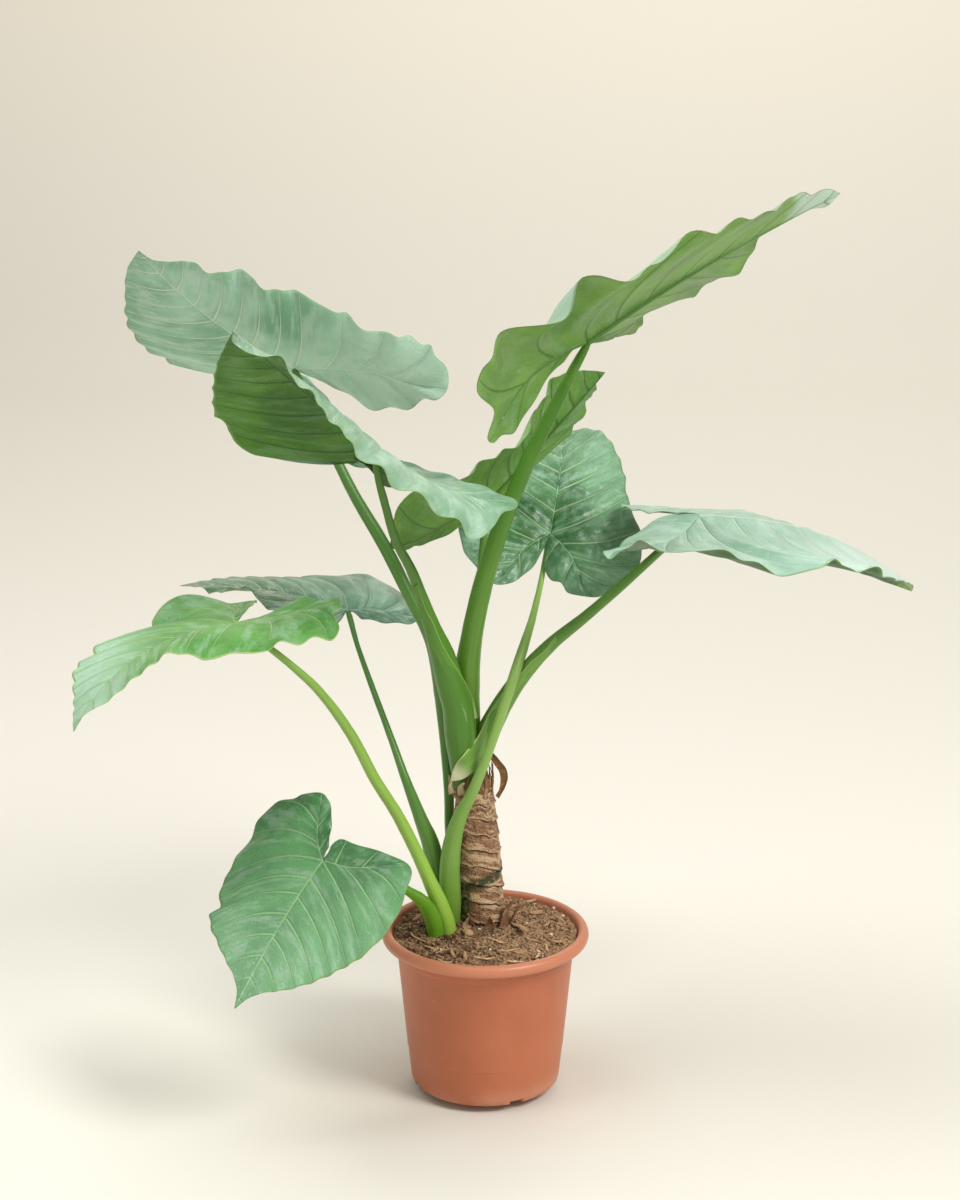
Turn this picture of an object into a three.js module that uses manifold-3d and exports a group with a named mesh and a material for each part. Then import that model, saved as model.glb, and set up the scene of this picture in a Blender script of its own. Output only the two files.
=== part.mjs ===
// A potted alocasia: a clay-coloured plastic nursery pot filled with soil, a scarred trunk with four leaf
// stalks at its crown, and a young shoot of five more leaves beside it.
// Millimetres, +Z up, -Y towards the viewer. The origin is the centre of the pot's underside, on the floor.
import * as THREE from 'three';
import { mergeVertices } from 'three/addons/utils/BufferGeometryUtils.js';
import Module from 'manifold-3d';

// ---------- driving dimensions ----------
const GAP = 0.35; // clearance between pieces that touch on the real plant

const POT = {
  height: 188, rimRadius: 120, baseRadius: 86.4, bodyTopRadius: 101.8, floor: 4, sides: 48,
  slotWidth: 17, slotHeight: 6, firstSlotAngle: -65,
};
const SOIL = {
  edge: 181, mound: 9, moundPlace: [-20, -2], moundSpread: 52, rings: 7, sides: 40, floorRadius: 83.6,
  chips: 15, chipClear: 60, chipThickness: 2.6,
};
const TRUNK = {
  foot: [-1, 20, 168], mid: [-8, 18, 285], top: [-14, 14, 364.6],
  footRadius: 25.5, midRadius: 25, topRadius: 21.5,
  scars: 9.5, scarDepth: 1.5, scarTilt: 7, sides: 22, rows: 30,
};
// Dry husks round the trunk's foot: degrees round it, height, width, and degrees of lean.
const HUSKS = [[-122, 28, 15, 14], [-80, 26, 15, 16], [-40, 36, 17, 9], [-8, 30, 14, 24], [150, 26, 15, 10]];
const HUSK_THICKNESS = 2.4;
const DRY_SHEATH = {
  route: [[6, 11, 396], [13, 10, 387], [20, 10, 377], [22, 10, 366], [19, 11, 352], [14, 12, 342]],
  width: 9, thickness: 1.1, cup: 2.2, wideTowards: [0.55, -1, 0.1], steps: 12, bends: 4,
};
// A stalk's cut under its blade follows the blade's face up to a slope, and moves back a few radii at most.
const STALK = { sides: 9, ringsPerStation: 2, leastSlope: 0.35, deepestCut: 2.2, cutRoom: 0.25 };
// Each stalk is cut clear of those before it here. The first four grow from the crown, the others from the soil.
const STALK_ORDER = [
  'curled_left', 'top_right', 'right', 'back', 'low_front', 'left_front', 'center', 'left_back', 'top_left',
];
const CROWN_STALKS = 4;
const BLADE = { thickness: 0.9, veinAngle: 52, veinBow: 0.06, frontRows: 11, backRows: 10, lobeShare: 0.93, across: 4 };

// Each leaf blade: where its stalk joins it, a point that bends its midrib, and its tip; the way its upper face
// looks at the joint and at the tip (degrees round from the viewer, degrees up); how far each half folds up from
// the midrib and curls further out, and how far the back lobes bend down in an arc (degrees); the outline of each
// half from the tip round to the notch, as [along the midrib, out from it, lift of the ruffled edge].
const LEAVES = {
  top_left: {
    junction: [-216, 112, 821],
    bend: [-310, 62, 876],
    tip: [-376, 20, 969],
    face: [[-51, 14], [-29, 14]],
    fold: [-3, 14],
    curl: [-25, -22],
    droop: -15,
    halfWidth: 130,
    left: [
      [238, 0, 0], [222, 31, -1], [198, 57, 1], [159, 96, 8], [134, 110, 10], [115, 116, 10],
      [102, 115, 3], [86, 118, 6], [70, 102, -23], [37, 116, -22], [-4, 125, -1], [-44, 128, 10],
      [-81, 118, 10], [-103, 102, 2], [-75, 26, 8], [-19, 6, -2],
    ],
    right: [
      [238, 0, 0], [224, 10, 4], [197, 47, -3], [181, 57, 4], [155, 87, -5], [129, 94, 6],
      [92, 114, -2], [37, 124, 4], [21, 127, -3], [-10, 122, 5], [-34, 131, -1], [-48, 134, 1],
      [-60, 138, -5], [-80, 136, -5], [-87, 140, -9], [-97, 136, -4], [-116, 133, -4], [-131, 119, -7],
      [-137, 107, -2], [-134, 94, 6], [-129, 75, 0], [-126, 46, 1], [-115, 29, 0], [-98, 17, 8],
      [-68, 10, 4],
    ],
  },
  curled_left: {
    junction: [-120, -75, 770],
    bend: [-213, -152, 875],
    tip: [-251, -247, 929],
    face: [[112, 48], [104, 48]],
    fold: [14, -54],
    curl: [-52, 18],
    droop: -33,
    halfWidth: 124,
    left: [
      [271, 0, 0], [264, 3, -9], [251, 17, -10], [237, 26, -5], [225, 37, 7], [200, 57, -2],
      [181, 68, 3], [150, 84, -2], [119, 99, 1], [84, 110, -5], [55, 111, 4], [30, 115, -3],
      [-8, 111, 7], [-39, 113, 1], [-70, 109, 1], [-92, 119, -8], [-108, 114, -5], [-119, 103, -1],
      [-140, 80, 2], [-155, 74, 1], [-163, 61, -1], [-149, 30, 1], [-109, 15, 9], [-63, 7, 10],
    ],
    right: [
      [271, 0, 0], [166, 77, -1], [120, 104, -5], [98, 109, -2], [74, 114, -8], [50, 111, -3],
      [44, 104, -1], [39, 92, 10], [21, 77, 25], [6, 84, 37], [-5, 19, -4], [-58, 13, -13],
      [-63, 7, -6], [-64, 0, 3], [-52, 0, 7], [-27, 0, 5],
    ],
  },
  top_right: {
    junction: [110, -20, 877],
    bend: [216, -48, 962],
    tip: [385, 46, 1027],
    face: [[186, 67], [203, 51]],
    fold: [8, -6],
    curl: [15, 1],
    droop: 62,
    halfWidth: 173,
    left: [
      [328, 0, 0], [313, 13, -4], [297, 27, 13], [291, 32, 10], [281, 43, 20], [270, 56, 8],
      [257, 69, 5], [246, 79, -7], [218, 100, -20], [202, 114, -12], [163, 134, -17], [118, 156, 0],
      [77, 168, 5], [31, 179, -5], [-7, 176, 3], [-20, 172, 17],
    ],
    right: [
      [328, 0, 0], [307, 26, 5], [282, 48, 2], [261, 72, 5], [229, 96, -4], [203, 115, -4],
      [193, 120, 1], [168, 135, -3], [144, 147, 8], [114, 154, -8], [105, 156, -6], [94, 157, -11],
      [85, 164, -9], [69, 176, 11], [58, 178, 15], [31, 169, -16], [-24, 177, 9], [-46, 169, 0],
      [-64, 163, 3], [-88, 151, 0], [-97, 116, -9], [-138, 91, 4], [-138, 81, 0], [-130, 64, 2],
      [-120, 42, -4], [-104, 35, -7],
    ],
  },
  back: {
    junction: [5, 66, 677],
    bend: [86, 70, 769],
    tip: [133, 63, 826],
    face: [[184, 39], [184, 45]],
    fold: [29, -5],
    curl: [18, -40],
    droop: -28,
    halfWidth: 92,
    left: [
      [197, 0, 0], [181, 1, 7], [165, 23, 2], [139, 43, 7], [123, 59, -4], [110, 63, 4],
      [98, 71, -3], [65, 81, 10], [40, 88, 12], [2, 89, 7],
    ],
    right: [
      [197, 0, 0], [178, 36, 5], [145, 60, 15], [134, 57, 4], [108, 66, -2], [94, 63, -14],
      [73, 67, -23], [55, 75, -11], [47, 79, -14], [30, 87, 4], [21, 90, -1], [9, 92, 4],
      [-48, 91, 50], [-120, 40, 1], [-112, 26, -2], [-100, 22, 2], [-93, 19, -2], [-21, 3, -2],
    ],
  },
  center: {
    junction: [75, 132, 622],
    bend: [93, 196, 694],
    tip: [93, 307, 700],
    face: [[5, 52], [-23, 58]],
    fold: [12, 18],
    curl: [-12, -48],
    droop: -10,
    halfWidth: 106,
    left: [
      [198, 0, 0], [183, 20, 3], [155, 48, 1], [119, 73, 0], [74, 93, -2], [22, 105, 1],
      [-8, 107, 0], [-37, 99, 0], [-53, 89, 1], [-82, 51, -1], [-77, 34, 1], [-47, 12, -1],
    ],
    right: [
      [198, 0, 0], [163, 48, 5], [101, 76, -2], [64, 84, -2], [17, 110, 0], [-6, 113, 1],
      [-55, 91, -1], [-74, 64, 0], [-76, 35, 0], [-64, 24, 0], [-62, 13, -1], [-40, 0, 0],
    ],
  },
  right: {
    junction: [236, 10, 675],
    bend: [390, -38, 687],
    tip: [490, 90, 565],
    face: [[3, 82], [-7, 83]],
    fold: [-19, -13],
    curl: [0, 40],
    droop: -2,
    halfWidth: 158,
    left: [
      [315, 0, 0], [252, 57, 0], [189, 98, 0], [126, 126, 0], [63, 139, 0], [0, 139, 0],
      [-114, 112, 7], [-60, 16, 3], [-31, 7, 3],
    ],
    right: [
      [315, 0, 0], [175, 114, 0], [163, 122, 7], [147, 128, -1], [133, 135, 2], [125, 138, 11],
      [113, 143, -4], [87, 151, -17], [66, 155, -6], [55, 157, -6], [42, 158, 7], [5, 159, -2],
      [-26, 158, 13], [-37, 158, 4], [-54, 150, 0], [-65, 149, -8], [-71, 146, -2], [-70, 23, -10],
      [-18, 2, 6],
    ],
  },
  left_front: {
    junction: [-272, -85, 578],
    bend: [-393, -139, 576],
    tip: [-430, -228, 503],
    face: [[-75, 57], [-73, 55]],
    fold: [17, 6],
    curl: [-43, -11],
    droop: -20,
    halfWidth: 122,
    left: [
      [235, 0, 0], [220, 14, 2], [201, 36, -5], [149, 75, 2], [125, 87, 7], [84, 112, -6],
      [49, 120, 0], [5, 121, -1], [-11, 117, 5], [-32, 119, 0], [-49, 115, 2], [-68, 118, -8],
      [-82, 108, -5], [-84, 87, 3], [-97, 74, 0], [-103, 41, 0], [-86, 25, 2], [-72, 17, 11],
      [-35, 7, 2],
    ],
    right: [
      [235, 0, 0], [188, 39, -4], [137, 88, 5], [119, 94, -2], [111, 101, 5], [49, 117, -12],
      [45, 120, -1], [12, 126, 17], [-25, 120, -4], [-59, 110, -8], [-15, 10, 9],
    ],
  },
  left_back: {
    junction: [-160, 112, 535],
    bend: [-240, 124, 564],
    tip: [-353, 113, 565],
    face: [[-26, 68], [-20, 91]],
    fold: [12, -3],
    curl: [6, -22],
    droop: 2,
    halfWidth: 98,
    left: [
      [197, 0, 0], [174, 24, -1], [166, 30, -6], [122, 62, 10], [103, 75, -3], [71, 88, -3],
      [49, 94, 0], [32, 95, 7],
    ],
    right: [
      [197, 0, 0], [152, 44, 1], [77, 86, -4], [40, 97, -1], [6, 98, 2], [-30, 96, 2],
      [-52, 82, -4], [-77, 28, 1], [-14, 0, -4],
    ],
  },
  low_front: {
    junction: [-179, -115, 315],
    bend: [-227, -141, 254],
    tip: [-272, -208, 180],
    face: [[-26, 28], [-8, 23]],
    fold: [4, 3],
    curl: [-24, -31],
    droop: 3,
    halfWidth: 107,
    left: [
      [190, 0, 0], [173, 11, 1], [143, 51, -1], [113, 77, -1], [70, 99, -1], [11, 107, -1],
      [-28, 99, 0], [-50, 86, -1], [-34, 15, -2], [-30, 4, 3], [-15, 0, 7],
    ],
    right: [
      [190, 0, 0], [170, 9, 0], [115, 81, 3], [106, 77, -2], [85, 91, 1], [64, 96, -2],
      [50, 102, 1], [25, 102, -4], [6, 109, 4], [-20, 104, 2], [-35, 86, -4], [-46, 76, 1],
      [-59, 48, 1], [-51, 30, 0], [-16, 5, 0],
    ],
  },
};

// Each leaf stalk from its foot up to its blade, as [x, y, z, radius].
const STALKS = {
  top_left: [
    [-31, 46, 163, 7.1], [-34, 43, 228, 6.4], [-41, 38, 292, 5.8], [-42, 34, 343, 5.8],
    [-51, 32, 453, 6.8], [-62, 32, 524, 7.4], [-85, 38, 573, 7.3], [-113, 52, 627, 7.3],
    [-151, 72, 689, 6.2], [-189, 98, 764, 4.8], [-215, 113, 817, 3.7],
  ],
  curled_left: [
    [-23, 8, 360, 13.7], [-25, 6, 387, 15.9], [-28, 2, 421, 18.1], [-31, 0, 454, 17.5],
    [-40, -3, 485, 15.7], [-48, -6, 517, 14.0], [-60, -11, 554, 9.5], [-71, -18, 590, 6.9],
    [-82, -27, 623, 5.8], [-98, -45, 661, 4.9], [-110, -62, 711, 4.3], [-115, -70, 735, 4.0],
    [-119, -74, 762, 3.4],
  ],
  top_right: [
    [-18, 22, 354, 12.6], [-19, 24, 389, 14.9], [-22, 24, 437, 15.9], [-21, 20, 486, 14.7],
    [-16, 14, 530, 12.4], [-3, 6, 596, 11.2], [16, 0, 661, 10.0], [47, -8, 743, 8.5],
    [72, -13, 797, 7.1], [93, -17, 841, 5.7], [108, -20, 870, 4.1],
  ],
  back: [
    [-18, 30, 356, 5.2], [-16, 38, 408, 4.9], [-14, 40, 462, 4.6], [-12, 38, 522, 4.5],
    [-6, 38, 593, 4.2], [-3, 47, 631, 3.9], [5, 64, 675, 3.7],
  ],
  center: [
    [-39, 12, 173, 8.7], [-39, 8, 190, 9.9], [-40, 2, 220, 12.1], [-41, -6, 260, 11.8],
    [-37, -10, 298, 10.3], [-28, -16, 331, 8.0], [-17, -20, 355, 6.8], [0, -22, 399, 5.6],
    [23, -12, 467, 5.9], [40, 14, 512, 5.9], [53, 52, 542, 4.3], [64, 97, 574, 3.2],
    [73, 129, 614, 2.7],
  ],
  right: [
    [-19, 10, 359, 11.4], [-10, 13, 387, 13.7], [4, 15, 422, 13.1], [21, 15, 456, 11.3],
    [40, 13, 486, 9.6], [72, 10, 524, 7.9], [114, 10, 560, 6.2], [155, 10, 597, 5.3],
    [193, 10, 633, 4.5], [235, 10, 672, 3.9],
  ],
  left_front: [
    [-42, -12, 173, 9.2], [-44, -13, 195, 9.8], [-51, -17, 221, 9.2], [-61, -23, 247, 8.3],
    [-74, -30, 282, 7.4], [-99, -38, 339, 6.8], [-123, -47, 384, 6.4], [-151, -60, 446, 5.8],
    [-184, -71, 498, 4.9], [-214, -78, 530, 4.1], [-243, -83, 556, 3.5], [-273, -86, 579, 3.3],
  ],
  left_back: [
    [-55, 10, 176, 8.1], [-57, 10, 229, 9.2], [-61, 12, 277, 10.4], [-76, 14, 320, 7.5],
    [-91, 18, 361, 5.4], [-108, 36, 405, 4.0], [-129, 64, 454, 3.5], [-148, 93, 499, 2.9],
    [-159, 112, 532, 2.9],
  ],
  low_front: [
    [-57, -18, 173, 8.6], [-58, -21, 197, 9.8], [-64, -28, 218, 9.1], [-73, -41, 237, 7.7],
    [-86, -59, 255, 5.6], [-112, -84, 284, 4.5], [-139, -98, 302, 3.9], [-161, -108, 310, 3.3],
    [-177, -114, 314, 3.3],
  ],
};

const COLOURS = {
  pot: 0xc17355, soil: 0x5f412d, trunk: 0x96694f, dry: 0x8a6342,
  blades: {
    top_left: 0x96bea0, curled_left: 0x4b7d2d, top_right: 0x6e9b4b, back: 0x5f913c, center: 0x4f8263,
    right: 0xa8ccb4, left_front: 0x64aa46, left_back: 0x5f8269, low_front: 0x5a9a76,
  },
  stalks: {
    top_left: 0x4f7d46, curled_left: 0x5a8c3c, top_right: 0x6ea03c, back: 0x5a8c3c, center: 0x649655,
    right: 0x6ea050, left_front: 0x96c350, left_back: 0x3c6e41, low_front: 0x6ea046,
  },
};

// ---------- helpers ----------
const wasm = await Module();
wasm.setup();

const vec = (a) => new THREE.Vector3(a[0], a[1], a[2]);
const rad = (d) => THREE.MathUtils.degToRad(d);
const mix = THREE.MathUtils.lerp;

// A repeatable random number from 0 to 1.
let seed = 7;
function random() {
  seed = (seed * 16807) % 2147483647;
  return seed / 2147483647;
}

function toSolid(geometry, weld = 1e-4) {
  const bare = geometry.clone();
  bare.deleteAttribute('normal');
  bare.deleteAttribute('uv');
  const merged = mergeVertices(bare, weld);
  return new wasm.Manifold(new wasm.Mesh({
    numProp: 3,
    vertProperties: new Float32Array(merged.attributes.position.array),
    triVerts: new Uint32Array(merged.index.array),
  }));
}

function toGeometry(solid) {
  const mesh = solid.getMesh();
  const geometry = new THREE.BufferGeometry();
  geometry.setAttribute('position', new THREE.BufferAttribute(new Float32Array(mesh.vertProperties), 3));
  geometry.setIndex(new THREE.BufferAttribute(new Uint32Array(mesh.triVerts), 1));
  geometry.computeVertexNormals();
  return geometry;
}

// What is left of a solid when the others are cut away: its largest single body, with slivers welded shut.
function largestBody(solid) {
  let best = solid;
  for (const weld of [0, 2e-3, 1e-3, 1e-3]) {
    const bodies = (weld ? toSolid(toGeometry(best), weld) : best).decompose();
    bodies.sort((a, b) => b.volume() - a.volume());
    best = bodies[0];
  }
  return best;
}

function indexed(positions, triangles) {
  const geometry = new THREE.BufferGeometry();
  geometry.setAttribute('position', new THREE.Float32BufferAttribute(positions.flatMap((p) => [p.x, p.y, p.z]), 3));
  geometry.setIndex(triangles);
  return geometry;
}

// A closed skin over rings of points, with a flat fan on each end.
function skinRings(rings) {
  const n = rings[0].length;
  const points = rings.flat();
  const triangles = [];
  for (let i = 0; i + 1 < rings.length; i++) {
    for (let j = 0; j < n; j++) {
      const a = i * n + j;
      const b = i * n + (j + 1) % n;
      triangles.push(a, b, b + n, a, b + n, a + n);
    }
  }
  const ends = [rings[0], rings[rings.length - 1]];
  ends.forEach((ring, k) => {
    const centre = ring.reduce((sum, p) => sum.add(p), new THREE.Vector3()).divideScalar(n);
    const c = points.push(centre) - 1;
    const base = k === 0 ? 0 : (rings.length - 1) * n;
    for (let j = 0; j < n; j++) {
      const a = base + j;
      const b = base + (j + 1) % n;
      triangles.push(...(k === 0 ? [c, b, a] : [c, a, b]));
    }
  });
  return indexed(points, triangles);
}

// ---------- leaf blades ----------
function facing([round, up]) {
  const a = rad(round);
  const b = rad(up);
  return new THREE.Vector3(Math.sin(a) * Math.cos(b), -Math.cos(a) * Math.cos(b), Math.sin(b));
}

// The place on a blade u mm along the midrib and v mm out to its right (or left, if v is negative), raised by lift.
function bladePoint(leaf, length, u, v, lift) {
  const k = THREE.MathUtils.clamp(u / length, 0, 1);
  const [a, b, c] = [vec(leaf.junction), vec(leaf.bend), vec(leaf.tip)];
  const point = a.clone().multiplyScalar((1 - k) ** 2).addScaledVector(b, 2 * k * (1 - k)).addScaledVector(c, k * k);
  const along = b.clone().sub(a).multiplyScalar(1 - k).addScaledVector(c.clone().sub(b), k).normalize();
  const face = facing(leaf.face[0]).lerp(facing(leaf.face[1]), k).normalize();
  const side = along.clone().cross(face).normalize();
  const up = side.clone().cross(along);
  if (u < 0) {
    const back = b.clone().sub(a).normalize();
    const bend = rad(leaf.droop) * Math.min(-2 * u / length, 1.3) / 2;
    const chord = Math.abs(bend) < 1e-6 ? u : u * Math.sin(bend) / bend;
    point.addScaledVector(back, chord * Math.cos(bend)).addScaledVector(up, chord * Math.sin(bend));
  }
  const half = v > 0 ? 1 : 0;
  const reach = Math.abs(v);
  const curl = rad(leaf.curl[half]) * reach / leaf.halfWidth / 2;
  const chord = Math.abs(curl) < 1e-6 ? reach : reach * Math.sin(curl) / curl;
  const angle = rad(leaf.fold[half]) + curl;
  point.addScaledVector(side, Math.sign(v) * chord * Math.cos(angle));
  return point.addScaledVector(up, chord * Math.sin(angle) + lift);
}

// The outline of one half, finely sampled, with the place on the midrib that each point's vein starts from.
function margin(leaf, name, length) {
  const curve = new THREE.CatmullRomCurve3(leaf[name].map(vec).concat([new THREE.Vector3()]), false, 'centripetal');
  const points = curve.getPoints(400);
  const lean = 1 / Math.tan(rad(BLADE.veinAngle));
  let root = length;
  return points.map((p) => {
    root = Math.min(root, Math.max(0, p.x - lean * Math.max(0, p.y)));
    return { u: p.x, v: Math.max(0, p.y), lift: p.z, root };
  });
}

// Rows of one half from tip to notch: the rows in front of the stalk start along the midrib, and those of the back
// lobe fan out from the stalk.
function halfRows(leaf, name, length) {
  const line = margin(leaf, name, length);
  const rows = [];
  for (let i = 0; i <= BLADE.frontRows; i++) {
    const root = length * (1 - (i / BLADE.frontRows) ** 1.5);
    const end = i === 0 ? line[0] : line.find((p) => p.root <= root + 1e-6);
    rows.push({ root, end });
  }
  const first = line.indexOf(rows[BLADE.frontRows].end);
  const rest = line.slice(first);
  const walked = [0];
  for (let i = 1; i < rest.length; i++) {
    const step = Math.hypot(rest[i].u - rest[i - 1].u, rest[i].v - rest[i - 1].v);
    walked.push(walked[i - 1] + step);
  }
  const whole = walked[walked.length - 1] * BLADE.lobeShare;
  for (let i = 1; i <= BLADE.backRows; i++) {
    const at = walked.findIndex((w) => w >= whole * i / BLADE.backRows - 1e-6);
    rows.push({ root: 0, end: rest[at] });
  }
  return rows;
}

// The middle sheet of a blade, as points and triangles that turn about its upper face.
function bladeSheet(leaf) {
  const bend = new THREE.QuadraticBezierCurve3(vec(leaf.junction), vec(leaf.bend), vec(leaf.tip));
  const length = bend.getLength();
  const points = [];
  const triangles = [];
  const known = new Map();
  const place = (u, v, lift) => {
    const p = bladePoint(leaf, length, u, v, lift);
    const key = [p.x, p.y, p.z].map((x) => Math.round(x * 200)).join(' ');
    if (!known.has(key)) known.set(key, points.push(p) - 1);
    return known.get(key);
  };
  for (const [name, sign] of [['left', -1], ['right', 1]]) {
    const grid = halfRows(leaf, name, length).map(({ root, end }) => {
      const row = [];
      for (let j = 0; j <= BLADE.across; j++) {
        const t = j / BLADE.across;
        const bow = BLADE.veinBow * end.v * Math.sin(Math.PI * t);
        row.push(place(mix(root, end.u, t) - bow, sign * end.v * t, end.lift * t * t));
      }
      return row;
    });
    for (let i = 0; i + 1 < grid.length; i++) {
      for (let j = 0; j < BLADE.across; j++) {
        const [a, b, c, d] = [grid[i][j], grid[i][j + 1], grid[i + 1][j + 1], grid[i + 1][j]];
        for (const tri of [[a, c, b], [a, d, c]]) {
          if (new Set(tri).size < 3) continue;
          triangles.push(sign > 0 ? tri : [tri[0], tri[2], tri[1]]);
        }
      }
    }
  }
  return { points, triangles };
}

// A sheet given thickness: both faces alike, closed round the edge.
function thicken({ points, triangles }, thickness) {
  const normals = points.map(() => new THREE.Vector3());
  const edges = new Map();
  for (const [a, b, c] of triangles) {
    const ab = points[b].clone().sub(points[a]);
    const n = ab.cross(points[c].clone().sub(points[a]));
    for (const i of [a, b, c]) normals[i].add(n);
    for (const [p, q] of [[a, b], [b, c], [c, a]]) {
      if (edges.has(`${q} ${p}`)) edges.delete(`${q} ${p}`);
      else edges.set(`${p} ${q}`, [p, q]);
    }
  }
  const n = points.length;
  const shift = (p, i, d) => p.clone().addScaledVector(normals[i].clone().normalize(), d);
  const skin = points.map((p, i) => shift(p, i, thickness / 2)).concat(points.map((p, i) => shift(p, i, -thickness / 2)));
  const faces = [];
  for (const [a, b, c] of triangles) faces.push(a, b, c, a + n, c + n, b + n);
  for (const [p, q] of edges.values()) faces.push(q, p, p + n, q, p + n, q + n);
  return indexed(skin, faces);
}

// ---------- stalks, trunk and dry sheath ----------
// A round stalk of changing radius along a smooth curve, cut off at a slant just under its blade.
function stalkTube(name, extra) {
  const stations = STALKS[name];
  const leaf = LEAVES[name];
  const joint = vec(leaf.junction);
  const face = facing(leaf.face[0]);
  const midrib = vec(leaf.bend).sub(joint).normalize();
  face.addScaledVector(midrib, -face.dot(midrib)).normalize();
  const under = BLADE.thickness / 2 + GAP + STALK.cutRoom;
  const curve = new THREE.CatmullRomCurve3(stations.map(vec), false, 'centripetal');
  const count = stations.length - 1;
  const per = STALK.ringsPerStation;
  const rings = [];
  let side = new THREE.Vector3(1, 0, 0);
  for (let i = 0; i <= count * per; i++) {
    const t = i / (count * per);
    const at = Math.min(count - 1, Math.floor(i / per));
    const radius = mix(stations[at][3], stations[at + 1][3], i / per - at) + extra;
    const along = curve.getTangent(t);
    side = side.addScaledVector(along, -side.dot(along)).normalize();
    const across = along.clone().cross(side);
    const centre = curve.getPoint(t);
    if (i === 0) centre.addScaledVector(along, -extra);
    rings.push(Array.from({ length: STALK.sides }, (_, j) => {
      const a = 2 * Math.PI * j / STALK.sides;
      const p = centre.clone().addScaledVector(side, radius * Math.cos(a)).addScaledVector(across, radius * Math.sin(a));
      if (i < count * per) return p;
      const over = p.clone().sub(joint).dot(face) + under;
      const slope = Math.max(STALK.leastSlope, along.dot(face));
      return p.addScaledVector(along, -THREE.MathUtils.clamp(over / slope, 0, STALK.deepestCut * radius));
    }));
  }
  return skinRings(rings);
}

// The trunk: a leaning stem that narrows upwards, stepped by the slanting scars of shed leaves.
function trunkTube(extra) {
  const curve = new THREE.QuadraticBezierCurve3(vec(TRUNK.foot), vec(TRUNK.mid), vec(TRUNK.top));
  const rings = [];
  for (let i = 0; i <= TRUNK.rows; i++) {
    const t = i / TRUNK.rows;
    const centre = curve.getPoint(t);
    if (i === TRUNK.rows) centre.z += extra;
    const body = t < 0.5 ? mix(TRUNK.footRadius, TRUNK.midRadius, 2 * t) : mix(TRUNK.midRadius, TRUNK.topRadius, 2 * t - 1);
    rings.push(Array.from({ length: TRUNK.sides }, (_, j) => {
      const a = 2 * Math.PI * j / TRUNK.sides;
      const slant = TRUNK.scarTilt / 22 * Math.sin(a + 1.1) * Math.sin(Math.PI * t);
      const step = (t * TRUNK.scars + slant + 20) % 1;
      const radius = body + TRUNK.scarDepth * (0.5 - step) + extra;
      return new THREE.Vector3(centre.x + radius * Math.cos(a), centre.y + radius * Math.sin(a), centre.z);
    }));
  }
  return skinRings(rings);
}

// A papery husk that leans on the trunk's foot.
function husk(angle, height, width, lean) {
  const shape = new THREE.Shape();
  shape.moveTo(-width / 2, 0);
  shape.quadraticCurveTo(-width / 2, height * 0.6, 0, height);
  shape.quadraticCurveTo(width / 2, height * 0.6, width / 2, 0);
  const geometry = new THREE.ExtrudeGeometry(shape, { depth: HUSK_THICKNESS, bevelEnabled: false, curveSegments: 3 });
  geometry.rotateX(Math.PI / 2 + rad(lean));
  geometry.rotateZ(rad(angle) + Math.PI / 2);
  const reach = TRUNK.footRadius - 0.5;
  geometry.translate(
    TRUNK.foot[0] + reach * Math.cos(rad(angle)), TRUNK.foot[1] + reach * Math.sin(rad(angle)), SOIL.edge + 1);
  return geometry;
}

// The dry sheath: a cupped strip that hangs along its route and narrows towards both ends.
function drySheath() {
  const curve = new THREE.CatmullRomCurve3(DRY_SHEATH.route.map(vec), false, 'centripetal');
  const rings = [];
  for (let i = 0; i <= DRY_SHEATH.steps; i++) {
    const t = i / DRY_SHEATH.steps;
    const along = curve.getTangent(t);
    const wide = vec(DRY_SHEATH.wideTowards).normalize();
    wide.addScaledVector(along, -wide.dot(along)).normalize();
    const out = along.clone().cross(wide);
    const half = DRY_SHEATH.width / 2 * (0.55 + 0.45 * Math.sin(Math.PI * Math.min(1, t + 0.15)));
    const thick = DRY_SHEATH.thickness / 2;
    const centre = curve.getPoint(t);
    const ring = [];
    for (const face of [1, -1]) {
      for (let j = 0; j <= DRY_SHEATH.bends; j++) {
        const w = face * (1 - 2 * j / DRY_SHEATH.bends);
        const cup = DRY_SHEATH.cup * w * w * (0.6 + 0.4 * Math.sin(9 * t));
        ring.push(centre.clone().addScaledVector(wide, w * half).addScaledVector(out, cup + face * thick));
      }
    }
    rings.push(ring);
  }
  return skinRings(rings);
}

// ---------- pot and soil ----------
// The pot: a profile of [radius, height] points turned round the axis, with drain slots cut through its foot.
function potShell() {
  const h = POT.height;
  const r = POT.rimRadius;
  const b = POT.baseRadius;
  const t = POT.bodyTopRadius;
  const profile = [
    [0, 0], [b - 6, 0], [b - 2, 1.6], [b, 6], [mix(b, t, 0.27), 45.5], [mix(b, t, 0.27) + 0.5, 46.4],
    [t, h - 28], [t + 2.6, h - 25.5], [t + 3.4, h - 16.5], [r - 6, h - 15.6], [r - 1.6, h - 12.6], [r, h - 8],
    [r - 1.4, h - 3.2], [r - 5, h - 0.5], [r - 9.4, h - 0.3], [r - 12, h - 2.6], [r - 13, h - 8], [t + 1, h - 15.5],
    [t, h - 24.5], [t - 2.6, h - 30], [SOIL.floorRadius + GAP, POT.floor], [0, POT.floor],
  ];
  const lathe = new THREE.LatheGeometry(profile.map(([x, y]) => new THREE.Vector2(x, y)), POT.sides);
  lathe.rotateX(Math.PI / 2);
  let solid = toSolid(lathe);
  for (let i = 0; i < 4; i++) {
    const slot = new THREE.BoxGeometry(24, POT.slotWidth, POT.slotHeight + 2);
    slot.translate(POT.baseRadius - 4, 0, POT.slotHeight / 2 - 1);
    slot.rotateZ(rad(POT.firstSlotAngle + 90 * i));
    solid = solid.subtract(toSolid(slot));
  }
  return solid;
}

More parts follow.
